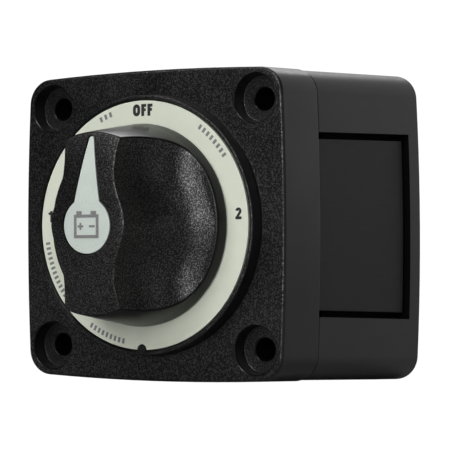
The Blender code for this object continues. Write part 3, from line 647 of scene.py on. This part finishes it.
def printed(name, outlines, level, lift):
    """Flat printed marks in one piece.

    Their tops step through four heights a micrometre apart, so that strokes that cross share no plane.
    """
    shape = bmesh.new()
    for number, outline in enumerate(outlines):
        extrude(shape, outline, level, lift + 0.001 * MM * (number % 4))
    return object_from_bmesh(name, shape)


def letter_o(left, bottom, width, height, stroke):
    middle = (left + width / 2, bottom + height / 2)
    reach = (width - stroke) / 2
    straight = height / 2 - width / 2
    upper = arc_band((middle[0], middle[1] + straight), reach, 0, 180, stroke)
    lower = arc_band((middle[0], middle[1] - straight), reach, 180, 360, stroke)
    sides = [stroke_bar((middle[0] + side * reach, middle[1] - straight),
                        (middle[0] + side * reach, middle[1] + straight), stroke) for side in (-1, 1)]
    return [upper, lower, *sides]


def letter_f(left, bottom, width, height, stroke):
    top_height = bottom + height - stroke * 0.43
    bar_height = bottom + height * 0.52
    stem_end = left + stroke
    stem = stroke_bar((left + stroke / 2, bottom), (left + stroke / 2, bottom + height), stroke)
    top = stroke_bar((stem_end, top_height), (left + width, top_height), stroke * 0.86)
    bar = stroke_bar((stem_end, bar_height), (left + width * 0.9, bar_height), stroke * 0.82)
    return [stem, top, bar]


def figure_two(centre, width, height, stroke):
    """A 2: a hooked bowl, a slanting stem and a foot."""
    x, y = centre
    reach = (width - stroke) / 2
    bowl_centre = (x, y + height / 2 - stroke / 2 - reach)
    bowl_start, bowl_end = -38, 172
    bowl = arc_band(bowl_centre, reach, bowl_start, bowl_end, stroke)
    joint = point_at(bowl_centre, reach, bowl_start)
    foot_height = y - height / 2 + stroke / 2
    thinner = stroke * 0.95
    nudge = 0.02 * MM
    stem_top = (joint[0] + nudge, joint[1] + nudge * 1.5)
    stem = stroke_bar(stem_top, (x - reach + nudge, foot_height), thinner)
    foot = stroke_bar((x - width / 2, foot_height), (x + width / 2, foot_height), thinner)
    return [bowl, stem, foot]


def figure_one(centre, width, height, stroke):
    """A 1: a stem with a short flag."""
    x, y = centre
    stem_x = x + width / 6
    stem = stroke_bar((stem_x, y - height / 2), (stem_x, y + height / 2), stroke)
    flag = stroke_bar((stem_x, y + height / 2 - stroke / 2), (stem_x - width / 2, y + height * 0.22),
                      stroke * 0.8)
    return [stem, flag]


def make_dial_marks():
    """Position names, and plain dashes where a real dial carries its wording."""
    level = above_ring(0.0)
    word_bottom, word_height, word_stroke = 22.7 * MM, 2.5 * MM, 0.72 * MM
    names = letter_o(-2.15 * MM, word_bottom, 1.8 * MM, word_height, word_stroke)
    for letter_left in (-0.06 * MM, 1.5 * MM):
        names += letter_f(letter_left, word_bottom, 1.25 * MM, word_height, word_stroke)
    figure_orbit, figure_size = 23.75 * MM, (1.45 * MM, 2.4 * MM, 0.6 * MM)
    right = point_at((0.0, 0.0), figure_orbit, 90 - POSITION_ANGLE)
    left = point_at((0.0, 0.0), figure_orbit, 90 + POSITION_ANGLE)
    names += figure_two(right, *figure_size)
    names += figure_one(left, *figure_size)
    marks = printed("dial_position_marks", names, level, MARK_HEIGHT)
    finish_piece(marks, dial_ink, "housing")

    dash_orbit, dash_length = 24.6 * MM, 1.1 * MM
    dashes = []
    for start, end, count in ((34, 56, 8), (188, 226, 15), (238, 261, 9), (108, 117, 3)):
        step = (end - start) / count
        for index in range(count):
            first = start + step * index
            dashes.append(arc_band((0.0, 0.0), dash_orbit, first, first + step / 2, dash_length, 3))
    small = printed("dial_fine_marks", dashes, level, MARK_HEIGHT / 2)
    finish_piece(small, dial_grey_ink, "housing")


# ---------------------------- knob

def crown_height(radius, drop=0.0):
    """Height of the knob's domed crown above the ring, lowered by drop."""
    return KNOB_HEIGHT - drop - (DOME_RADIUS - math.sqrt(DOME_RADIUS**2 - radius**2))


def wall_radius(height):
    """Radius of the knob's outer wall, which leans in towards the crown."""
    shoulder = crown_height(KNOB_TOP_RADIUS)
    share = (height - CLEARANCE) / (shoulder - CLEARANCE)
    return KNOB_BASE_RADIUS + (KNOB_TOP_RADIUS - KNOB_BASE_RADIUS) * share


def grip_half_width(along):
    """Half-width of the grip: wide round the insert, narrow at the waists, flared at the ends."""
    bulge = GRIP_BULGE * math.exp(-((along / GRIP_BULGE_LENGTH) ** 2))
    return GRIP_WAIST + bulge + GRIP_FLARE * (along / KNOB_TOP_RADIUS) ** 4


def flank_point(along, angle):
    """A point on the scoop's elliptical flank, from upright at the grip to flat at 90 degrees.

    The outer part is filled a little, so that it keeps falling gently as far as the rim.
    """
    reach = 1 - math.cos(angle)
    across = grip_half_width(along) + SCOOP_REACH * reach
    height = SCOOP_FLOOR + (KNOB_HEIGHT - SCOOP_FLOOR) * (1 - math.sin(angle))
    share = max(0.0, (reach - SWELL_START) / (1 - SWELL_START))
    fade = max(0.0, 1 - (along / KNOB_TOP_RADIUS) ** 2)
    return across, height + SWELL_HEIGHT * fade * 27 / 4 * share**2 * (1 - share)


def solve(function, low, high):
    """The place between low and high where an increasing function crosses zero."""
    for _ in range(40):
        middle = (low + high) / 2
        if function(middle) > 0:
            high = middle
        else:
            low = middle
    return (low + high) / 2


def flank_top_angle(along):
    """Where the flank leaves the crown."""
    def below_crown(angle):
        across, height = flank_point(along, angle)
        return crown_height(math.hypot(across, along)) - height
    return solve(below_crown, 0.0, 0.6)


def flank_end(angle):
    """How far along the grip the flank runs, at a given angle, before it meets the outer wall."""
    def outside_wall(along):
        across, height = flank_point(along, angle)
        return math.hypot(across, along) - wall_radius(height)
    return solve(outside_wall, 0.0, KNOB_BASE_RADIUS)


def flank_place(share_along, share_down):
    """A point of the flank from two shares: -1 to 1 along the grip, and 0 to 1 from crown to floor."""
    along, angle = 0.0, math.pi / 2
    for _ in range(30):
        top = flank_top_angle(along)
        angle = top + share_down * (math.pi / 2 - top)
        along = share_along * flank_end(angle)
    across, height = flank_point(along, angle)
    return across, along, above_ring(height)


def make_knob():
    """Round knob with two finger scoops that leave a waisted grip across it."""
    across_steps, along_steps, down_steps = 14, 28, 12
    shape = bmesh.new()

    def grid(rows):
        skin(shape, [[shape.verts.new(point) for point in row] for row in rows])

    shares = [2 * index / along_steps - 1 for index in range(along_steps + 1)]
    downs = [index / down_steps for index in range(down_steps + 1)]
    flank = [[flank_place(share, down) for share in shares] for down in downs]
    floor_radius = wall_radius(SCOOP_FLOOR)
    rim = [(math.sqrt(max(floor_radius**2 - y**2, 0.0)), y, z) for _, y, z in flank[-1]]
    for side in (1, -1):
        grid([[(side * x, y, z) for x, y, z in row] for row in flank + [rim]])

    # Crown: rows across the grip between the tops of the two flanks, and a row at the wall at each end.
    crown_rows = []
    for x, y, _ in flank[0][1:-1]:
        row = []
        for index in range(across_steps + 1):
            place = x * (2 * index / across_steps - 1)
            row.append((place, y, above_ring(crown_height(math.hypot(place, y)))))
        crown_rows.append(row)
    end_x, end_y, _ = flank[0][-1]
    end_angle = math.degrees(math.atan2(end_y, end_x))
    shoulder = above_ring(crown_height(KNOB_TOP_RADIUS))
    end_arc = arc((0.0, 0.0), KNOB_TOP_RADIUS, 180 - end_angle, end_angle, across_steps)
    end_row = [(x, y, shoulder) for x, y in end_arc]
    crown_rows.append(end_row)
    crown_rows.insert(0, [(x, -y, z) for x, y, z in end_row])
    grid(crown_rows)

    # End walls: from one flank's edge round the end of the grip to the other's.
    wall_rows = []
    for row in flank:
        x, y, z = row[-1]
        start = math.degrees(math.atan2(y, x))
        wall_arc = arc((0.0, 0.0), math.hypot(x, y), start, 180 - start, across_steps)
        wall_rows.append([(*point, z) for point in wall_arc])
    grid(wall_rows)
    grid([[(x, -y, z) for x, y, z in row] for row in wall_rows])

    # Skirt below the scoops, and the underside.
    loop = [(x, y) for x, y, _ in rim]
    loop += [(x, y) for x, y, _ in wall_rows[-1][1:-1]]
    loop += [(-x, y) for x, y, _ in reversed(rim)]
    loop += [(x, -y) for x, y, _ in reversed(wall_rows[-1][1:-1])]
    loop.append(loop[0])
    skirt = []
    for height in (SCOOP_FLOOR, SCOOP_FLOOR / 2, CLEARANCE):
        scale = wall_radius(height) / floor_radius
        skirt.append([(x * scale, y * scale, above_ring(height)) for x, y in loop])
    base = above_ring(CLEARANCE)
    skirt_wall, hub_radius = 1.2 * MM, 9 * MM
    for radius in (KNOB_BASE_RADIUS - skirt_wall, hub_radius):
        scale = radius / floor_radius
        skirt.append([(x * scale, y * scale, base) for x, y in loop])
    skirt.append([(0.0, 0.0, base) for _ in loop])
    grid(skirt)

    bmesh.ops.remove_doubles(shape, verts=shape.verts, dist=0.01 * MM)
    bmesh.ops.dissolve_degenerate(shape, edges=shape.edges, dist=0.005 * MM)
    bmesh.ops.recalc_face_normals(shape, faces=shape.faces)
    crease = math.radians(38)
    edges = [e for e in shape.edges if len(e.link_faces) == 2 and e.calc_face_angle(0.0) > crease]
    bmesh.ops.bevel(shape, geom=edges, offset=KNOB_EDGE_ROUND, segments=2, profile=0.5,
                    affect="EDGES", clamp_overlap=True)
    knob = object_from_bmesh("knob_body", shape)
    smooth = knob.modifiers.new("Smooth", "SUBSURF")
    smooth.levels = smooth.render_levels = 2
    bake(knob)

    below, above = above_ring(BELOW_CROWN), above_ring(ABOVE_CROWN)
    pocket = prism("pocket", pointer_outline(CLEARANCE), below, above)
    cut(pocket, dome_slab("pocket_floor", INSERT_RECESS + INSERT_THICKNESS + CLEARANCE))
    opening = above_ring(-MM)
    socket = block("socket", (-SOCKET_HALF_WIDTH, -SOCKET_HALF_WIDTH, opening),
                   (SOCKET_HALF_WIDTH, SOCKET_HALF_WIDTH, above_ring(SOCKET_TOP)))
    groove_inner, groove_outer, groove_top = 8 * MM, 19.3 * MM, above_ring(1.5 * MM)
    underside = turned("underside", [(groove_inner, groove_top), (groove_outer, groove_top),
                                     (groove_outer, opening), (groove_inner, opening)], 96)
    cut(knob, pocket, socket, underside)
    finish_piece(knob, knob_plastic, "knob_rotor", ["knob"], 40)
    knob.data.materials.append(knob_wall_plastic)
    shoulder_height = crown_height(KNOB_TOP_RADIUS)
    for polygon in knob.data.polygons:
        centre = polygon.center
        height = -centre.y - above_ring(0.0)
        inset = wall_radius(height) - math.hypot(centre.x, centre.z)
        if height < shoulder_height and inset < KNOB_WALL_BAND:
            polygon.material_index = 1


def pointer_outline(grow):
    """A disc that runs into a long tapering pointer towards +Y."""
    radius = INSERT_RADIUS + grow
    neck = math.degrees(math.asin((INSERT_NECK + grow) / radius))
    disc = arc((0.0, INSERT_OFFSET), radius, 90 + neck, 450 - neck, 72)
    tip = arc((0.0, INSERT_TIP_REACH), INSERT_TIP_RADIUS + grow, 9, 171, 12)
    left, right = Vector(tip[-1]), Vector(disc[0])
    taper = [tuple(left.lerp(right, index / 8)) for index in range(1, 8)]
    return disc + [(-x, y) for x, y in reversed(taper)] + tip + taper


def dome_slab(name, drop, margin=0.0):
    """A disc whose top follows the knob's crown, lowered by drop; a margin makes it wider and deeper."""
    rings = 14
    edge, floor = 20 * MM + margin, above_ring(12 * MM - margin)
    profile = []
    for index in range(rings + 1):
        radius = edge * index / rings
        profile.append((radius, above_ring(crown_height(radius, drop))))
    return turned(name, profile + [(edge, floor), (0.0, floor)], 96)


def make_insert():
    """Pale pointer insert, let into the crown, with a plain battery symbol printed on it."""
    insert = prism("insert_face", pointer_outline(0.0), above_ring(BELOW_CROWN), above_ring(ABOVE_CROWN))
    keep_inside(insert, dome_slab("insert_top", INSERT_RECESS))
    cut(insert, dome_slab("insert_bottom", INSERT_RECESS + INSERT_THICKNESS, MM))
    finish_piece(insert, insert_plastic, "knob_rotor", ["pointer_insert"], 30)

    sunk = 0.06 * MM
    level = above_ring(crown_height(0.0, INSERT_RECESS)) - sunk
    low, high, half, wall = -2.6 * MM, 1.5 * MM, 3.0 * MM, 0.62 * MM
    side, inside_low, inside_high = half - wall / 2, low + wall / 2, high - wall / 2
    terminal_x, terminal_width, terminal_low = 1.75 * MM, 1.3 * MM, high + wall / 2
    terminal_high = terminal_low + 0.7 * MM
    sign_x, sign_y, sign_reach, sign_stroke = 1.4 * MM, -0.55 * MM, 0.7 * MM, 0.45 * MM
    box = [stroke_bar((-half, height), (half, height), wall) for height in (low, high)]
    box += [stroke_bar((x, inside_low), (x, inside_high), wall) for x in (-side, side)]
    terminals = [stroke_bar((x, terminal_low), (x, terminal_high), terminal_width)
                 for x in (-terminal_x, terminal_x)]
    signs = [stroke_bar((x - sign_reach, sign_y), (x + sign_reach, sign_y), sign_stroke)
             for x in (sign_x, -sign_x)]
    signs += [stroke_bar((-sign_x, sign_y + start), (-sign_x, sign_y + end), sign_stroke)
              for start, end in ((-sign_reach, -sign_stroke / 2), (sign_stroke / 2, sign_reach))]
    symbol = printed("insert_symbol", box + terminals + signs, level, sunk + 0.025 * MM)
    finish_piece(symbol, symbol_ink, "knob_rotor")


# ---------------------------- rear cover and plates

def make_cover():
    """Rear cover with a cable window in each side and four corner posts."""
    front_depth = SEAM_DEPTH + CLEARANCE
    front_half = half_width_at(front_depth, COVER_INSET)
    cover = tapered_block("cover_shell", BACK_HALF_WIDTH, BODY_DEPTH, front_half, front_depth,
                          CORNER_RADIUS, SEAM_ROUND, BACK_ROUND)
    cut(cover, cover_block("cavity", COVER_WALL, BODY_DEPTH - COVER_WALL, front_half, front_depth - MM))
    ledge_out = half_width_at(LEDGE_START_DEPTH) - MM
    ledge_in = ledge_out - 3.4 * MM
    window_in = FACE_HALF_WIDTH - 3.0 * MM
    passage_in, passage_half = 25 * MM, WINDOW_HALF_HEIGHT - LEDGE_WIDTH
    outside = BACK_HALF_WIDTH + 2 * MM
    ledges, openings = [], []
    for angle in SIDES.values():
        ledge = block("ledge",
                      (ledge_in, -WINDOW_HALF_HEIGHT - MM, at_depth(WINDOW_END_DEPTH + MM)),
                      (ledge_out, WINDOW_HALF_HEIGHT + MM, at_depth(LEDGE_START_DEPTH)))
        window = block("window",
                       (window_in, -WINDOW_HALF_HEIGHT, at_depth(WINDOW_END_DEPTH)),
                       (outside, WINDOW_HALF_HEIGHT, at_depth(SEAM_DEPTH - MM)))
        splay(ledge)
        splay(window)
        ledge_face = cover_block("ledge_face", LEDGE_SETBACK, BODY_DEPTH, front_half,
                                 front_depth - 2 * MM)
        cut(window, ledge_face)
        passage = block("passage",
                        (passage_in, -passage_half, at_depth(WINDOW_END_DEPTH - LEDGE_WIDTH)),
                        (outside, passage_half, at_depth(SEAM_DEPTH - MM)))
        ledges.append(turn_about_axis(ledge, angle))
        openings += [turn_about_axis(window, angle), turn_about_axis(passage, angle)]
    posts = [cylinder("post", POST_RADIUS, MM, at_depth(front_depth + POST_SETBACK), centre, 64)
             for centre in corner_places()]
    holes = [cylinder("post_hole", HOLE_RADIUS, -MM, at_depth(front_depth - MM), centre, 48)
             for centre in corner_places()]
    join(cover, *ledges, *posts)
    cut(cover, *openings, *holes)
    finish_piece(cover, cover_plastic, "cover", ["rear_cover"], 30)
    # Painted shade: faces lying deeper than COVER_SKIN inside the cover's outer surface, such as the
    # window ledges and posts, get a near-black material.
    cover.data.materials.append(shade_painted_inside_plastic)
    for polygon in cover.data.polygons:
        centre = polygon.center
        corner = half_width_at(BODY_DEPTH + centre.y, COVER_INSET) - CORNER_RADIUS
        beyond = (abs(centre.x) - corner, abs(centre.z) - corner)
        reach = math.hypot(max(beyond[0], 0.0), max(beyond[1], 0.0)) + min(max(beyond), 0.0)
        if reach < CORNER_RADIUS - COVER_SKIN and centre.y < -COVER_SKIN:
            polygon.material_index = 1


def make_plate(side, angle):
    """Removable plate that closes one cable window, set just below the cover's surface."""
    front_depth = SEAM_DEPTH + 2 * CLEARANCE
    front_half = half_width_at(front_depth, COVER_INSET)
    plate = cover_block(f"plate_{side}", PLATE_RECESS, BODY_DEPTH, front_half, front_depth)
    inner = PLATE_RECESS + PLATE_THICKNESS
    cut(plate, cover_block("plate_inside", inner, BODY_DEPTH + MM, front_half, front_depth - MM))
    half = WINDOW_HALF_HEIGHT - PLATE_GAP
    inside, outside = 20 * MM, BACK_HALF_WIDTH + 2 * MM
    limits = block("plate_limits", (inside, -half, at_depth(WINDOW_END_DEPTH - PLATE_GAP)),
                   (outside, half, at_depth(0.0)))
    keep_inside(plate, splay(limits))
    leg_in, leg_out, leg_place, leg_half = 27.5 * MM, 31.2 * MM, 14 * MM, 0.8 * MM
    leg_back, leg_front = at_depth(44 * MM), at_depth(24 * MM)
    legs = [block("plate_leg", (leg_in, along - leg_half, leg_back),
                  (leg_out, along + leg_half, leg_front)) for along in (-leg_place, leg_place)]
    join(plate, *legs)
    edge = plate.modifiers.new("Edge", "BEVEL")
    edge.width = 0.2 * MM
    edge.segments = 3
    edge.limit_method = "ANGLE"
    edge.angle_limit = math.radians(50)
    bake(plate)
    turn_about_axis(plate, angle)
    finish_piece(plate, plate_plastic, f"plate_{side}", [f"side_plate_{side}"])


# ---------------------------- terminals

def make_stud(name):
    """Terminal stud with a rolled thread on its shank and a flat contact head."""
    low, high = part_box(name)
    centre = centre_of(name)
    head_radius = (high.x - low.x) / 2
    front, tip = -low.y, -high.y
    head_back = front - 0.7 * MM
    shank_start = at_depth(THREAD_START_DEPTH)
    half_groove = 0.42
    taper_length, taper_depth = 1.2 * MM, 0.9 * MM
    steps, rows_per_turn = 48, 8
    rows = [(0.0, front), (head_radius, front), (head_radius, head_back),
            (STUD_RADIUS, head_back), (STUD_RADIUS, shank_start)]
    shape = bmesh.new()
    rings = []
    for radius, height in rows:
        rings.append([shape.verts.new((x, y, height)) for x, y in circle(centre, radius, steps)])
    count = int((shank_start - tip) / THREAD_PITCH * rows_per_turn)
    for row in range(1, count + 1):
        height = shank_start + (tip - shank_start) * row / count
        fade = min(1.0, (shank_start - height) / MM)
        end_taper = max(0.0, 1 - (height - tip) / taper_length) * taper_depth
        ring = []
        for index in range(steps):
            phase = (height / THREAD_PITCH + index / steps) % 1.0
            groove = max(0.0, 1 - abs(phase - 0.5) / half_groove)
            radius = min(STUD_RADIUS - groove * THREAD_DEPTH * fade, STUD_RADIUS - end_taper)
            x, y = point_at(centre, radius, 360 * index / steps)
            ring.append(shape.verts.new((x, y, height)))
        rings.append(ring)
    rings.append([shape.verts.new((*centre, tip)) for _ in range(steps)])
    skin(shape, rings, closed=True)
    bmesh.ops.remove_doubles(shape, verts=shape.verts, dist=0.001 * MM)
    stud = object_from_bmesh(name.replace("stud", "threaded_stud"), shape)
    finish_piece(stud, tin_plate, "housing", [name], 50)


def make_nut(name):
    """Hex nut, chamfered at both ends, with a countersunk thread entry."""
    low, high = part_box(name)
    centre = centre_of(name)
    front, back = -low.y, -high.y
    widths = (high.x - low.x, high.z - low.z)
    corner = max(widths) / 2
    first = 0 if widths[0] > widths[1] else 30
    nut = prism(name.replace("nut", "hex_nut"), arc(centre, corner, first, first + 300, 5), back, front)
    chamfer_width, chamfer_height = 1.1 * MM, 0.6 * MM
    flat = corner - chamfer_width
    keep_inside(nut, turned("nut_chamfer", [
        (0.0, front), (flat, front), (corner, front - chamfer_height),
        (corner, back + chamfer_height), (flat, back), (0.0, back),
    ], 96, centre))
    bore, entry = STUD_RADIUS + CLEARANCE, 0.5 * MM
    cut(nut, turned("nut_bore", [
        (0.0, front + MM), (bore + entry, front + MM), (bore + entry, front), (bore, front - entry),
        (bore, back + entry), (bore + entry, back), (bore + entry, back - MM), (0.0, back - MM),
    ], 64, centre))
    finish_piece(nut, stainless, "housing", [name], 20)


def make_base_screw(name):
    """Pan-head screw with a cross recess."""
    low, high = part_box(name)
    centre = centre_of(name)
    tip, top = -low.y, -high.y
    head_radius = (high.x - low.x) / 2
    shank_radius, point_length, head_height = 1.3 * MM, 1.5 * MM, 1.9 * MM
    seat = top + head_height
    screw = turned(name.replace("base_screw", "pan_screw"), rounded([
        (0.0, tip),
        (shank_radius / 2, tip),
        (shank_radius, tip - point_length),
        (shank_radius, seat),
        (head_radius, seat),
        (head_radius, top, True),
        (0.0, top),
    ], 0.8 * MM, 6), 48, centre)
    arm, reach, depth = 0.35 * MM, 1.5 * MM, 1.1 * MM
    x, y = centre
    cut(screw, block("recess_across", (x - reach, y - arm, top - MM), (x + reach, y + arm, top + depth)),
        block("recess_along", (x - arm, y - reach, top - MM), (x + arm, y + reach, top + depth)))
    finish_piece(screw, stainless, "housing", [name], 30)


# ---------------------------- stage

def make_floor():
    """Floor that looks white to the camera, with a faint shadow, but bounces light as grey paper does."""
    half_size, paper_grey, paper_glow, glow_share = 3.0, 0.36, 1.12, 0.92
    floor = block("floor", (-half_size, -half_size, -MM), (half_size, half_size, 0.0))
    floor.location.z = cad_box[0].z
    material, tree, shader = new_surface("floor_paper")
    shader.inputs["Base Color"].default_value = grey(paper_grey)
    shader.inputs["Roughness"].default_value = 0.9
    shader.inputs["Specular IOR Level"].default_value = 0.0
    glow = node(tree, "ShaderNodeEmission", {"Color": grey(1.0), "Strength": paper_glow})
    seen = node(tree, "ShaderNodeLightPath").outputs["Is Camera Ray"]
    share = multiply(tree, seen, glow_share)
    mix = node(tree, "ShaderNodeMixShader", {0: share, 1: shader.outputs[0], 2: glow.outputs[0]})
    output = tree.nodes["Material Output"]
    tree.links.new(mix.outputs[0], output.inputs["Surface"])
    floor.data.materials.append(material)


def make_background():
    """A world that is white to the camera, and otherwise glows softly from behind the switch."""
    darkest, brightest, falloff = 0.015, 0.95, 3.0
    world = bpy.data.worlds.new("studio")
    bpy.context.scene.world = world
    world.use_nodes = True
    tree = world.node_tree
    direction = node(tree, "ShaderNodeTexCoord").outputs["Generated"]
    backwards = node(tree, "ShaderNodeSeparateXYZ", {"Vector": direction}).outputs["Y"]
    fill = tree.nodes["Background"]
    fill.inputs["Color"].default_value = grey(1.0)
    behind = spread(tree, backwards, 0.0, 1.0)
    glow = node(tree, "ShaderNodeMath", {0: behind, 1: falloff}, operation="POWER").outputs["Value"]
    tree.links.new(spread(tree, glow, 0.0, 1.0, darkest, brightest), fill.inputs["Strength"])
    white = node(tree, "ShaderNodeBackground", {"Color": grey(1.0), "Strength": 1.05})
    seen = node(tree, "ShaderNodeLightPath").outputs["Is Camera Ray"]
    mix = node(tree, "ShaderNodeMixShader", {0: seen, 1: fill.outputs[0], 2: white.outputs[0]})
    tree.links.new(mix.outputs[0], tree.nodes["World Output"].inputs["Surface"])


def direction_at(azimuth, elevation):
    """Unit vector away from the switch; azimuth 0 is straight in front, and 90 is on the right."""
    a, e = math.radians(azimuth), math.radians(elevation)
    return Vector((math.sin(a) * math.cos(e), -math.cos(a) * math.cos(e), math.sin(e)))


def add_softbox(name, azimuth, elevation, distance, size, watts):
    """A square area light that looks at the dial."""
    direction = direction_at(azimuth, elevation)
    lamp = bpy.data.lights.new(name, "AREA")
    lamp.shape = "SQUARE"
    lamp.size = size
    lamp.energy = watts
    item = add_object(name, lamp)
    item.location = Vector((0.0, -BODY_DEPTH, 0.0)) + direction * distance
    item.rotation_euler = direction.to_track_quat("Z", "Y").to_euler()


def make_camera():
    """Camera placed and shifted so that the switch stands in the picture as it does in the photo."""
    back = direction_at(32.15, -1.705)
    roll = math.radians(-0.124)
    distance = 404.39 * MM
    target = Vector((17.40 * MM, -56.6 * MM, 4.31 * MM))
    lens = bpy.data.cameras.new("camera")
    lens.sensor_width = 36.0
    lens.lens = 157.96
    lens.shift_x = 0.00915
    lens.shift_y = -0.0484
    lens.clip_start = 0.01
    camera = add_object("camera", lens)
    camera.rotation_mode = "QUATERNION"
    camera.location = target + back * distance
    tilt = Matrix.Rotation(roll, 4, "Z").to_quaternion()
    camera.rotation_quaternion = back.to_track_quat("Z", "Y") @ tilt
    bpy.context.scene.camera = camera


bpy.context.scene.view_settings.view_transform = "Standard"

housing_plastic = grained_plastic("housing_plastic", 0.07 * MM, 0.32, sparkle=0.5, face_only=True)
knob_plastic = grained_plastic("knob_plastic", 0.06 * MM, 0.34, sparkle=0.55)
knob_wall_plastic = satin_plastic("knob_wall_plastic", 0.001, 0.3, 0.22)
cover_plastic = satin_plastic("cover_plastic", 0.01, 0.45, 0.55)
plate_plastic = satin_plastic("plate_plastic", 0.003, 0.5, 0.42)
# Near-black material that paints shade onto the cover's inside faces and window ledges.
shade_painted_inside_plastic = satin_plastic("shade_painted_inside_plastic", 0.001, 0.8, 0.08)
base_plastic = satin_plastic("base_plastic", 0.035, 0.6)
rotor_plastic = satin_plastic("rotor_plastic", 0.45, 0.5)
seal_rubber = satin_plastic("seal_rubber", 0.02, 0.75, 0.2)
dial_plastic = printed_plate("dial_plastic", (0.74, 0.78, 0.655), (0.71, 0.75, 0.635), 0.42, 0.15)
insert_plastic = printed_plate("insert_plastic", (0.62, 0.68, 0.63), (0.59, 0.655, 0.61), 0.3, 0.4)
dial_ink = print_ink("dial_ink", 0.012)
dial_grey_ink = print_ink("dial_grey_ink", 0.2)
symbol_ink = print_ink("symbol_ink", 0.2)
tin_plate = metal("tin_plate", (0.66, 0.64, 0.6), (0.5, 0.46, 0.4), 0.32, 0.3 * MM)
stainless = metal("stainless", (0.62, 0.62, 0.63), (0.52, 0.52, 0.54), 0.36, 0.3 * MM, (1.0, 0.1, 1.0))

SLOT_MATERIALS = {
    "base_plastic": base_plastic,
    "rotor_plastic": rotor_plastic,
    "seal_rubber": seal_rubber,
    "tinned_copper": tin_plate,
    "stainless_steel": stainless,
}
for subpart in frame["record"]["subparts"]:
    if subpart["material_slot"] in SLOT_MATERIALS:
        carried = frame["nodes"][subpart["node"]]
        carried.data.materials.clear()
        carried.data.materials.append(SLOT_MATERIALS[subpart["material_slot"]])

make_camera()
make_background()
make_floor()
add_softbox("front_key", 12, 9, 0.7, 0.4, 2.7)
add_softbox("high_key", -25, 42, 0.7, 0.3, 1.3)
add_softbox("right_fill", 42, 58, 0.7, 0.25, 1.5)
add_softbox("side_card", 80, 5, 0.7, 0.3, 0.22)
add_softbox("top_back", -160, 50, 0.7, 0.4, 2.0)

make_housing()
make_dial()
make_dial_marks()
make_knob()
make_insert()
make_cover()
for plate_side, plate_angle in SIDES.items():
    make_plate(plate_side, plate_angle)
for stud_node in ("stud_battery_1", "stud_battery_2", "stud_common"):
    make_stud(stud_node)
    make_nut(stud_node.replace("stud", "nut"))
for screw_number in range(1, 5):
    make_base_screw(f"base_screw_{screw_number}")
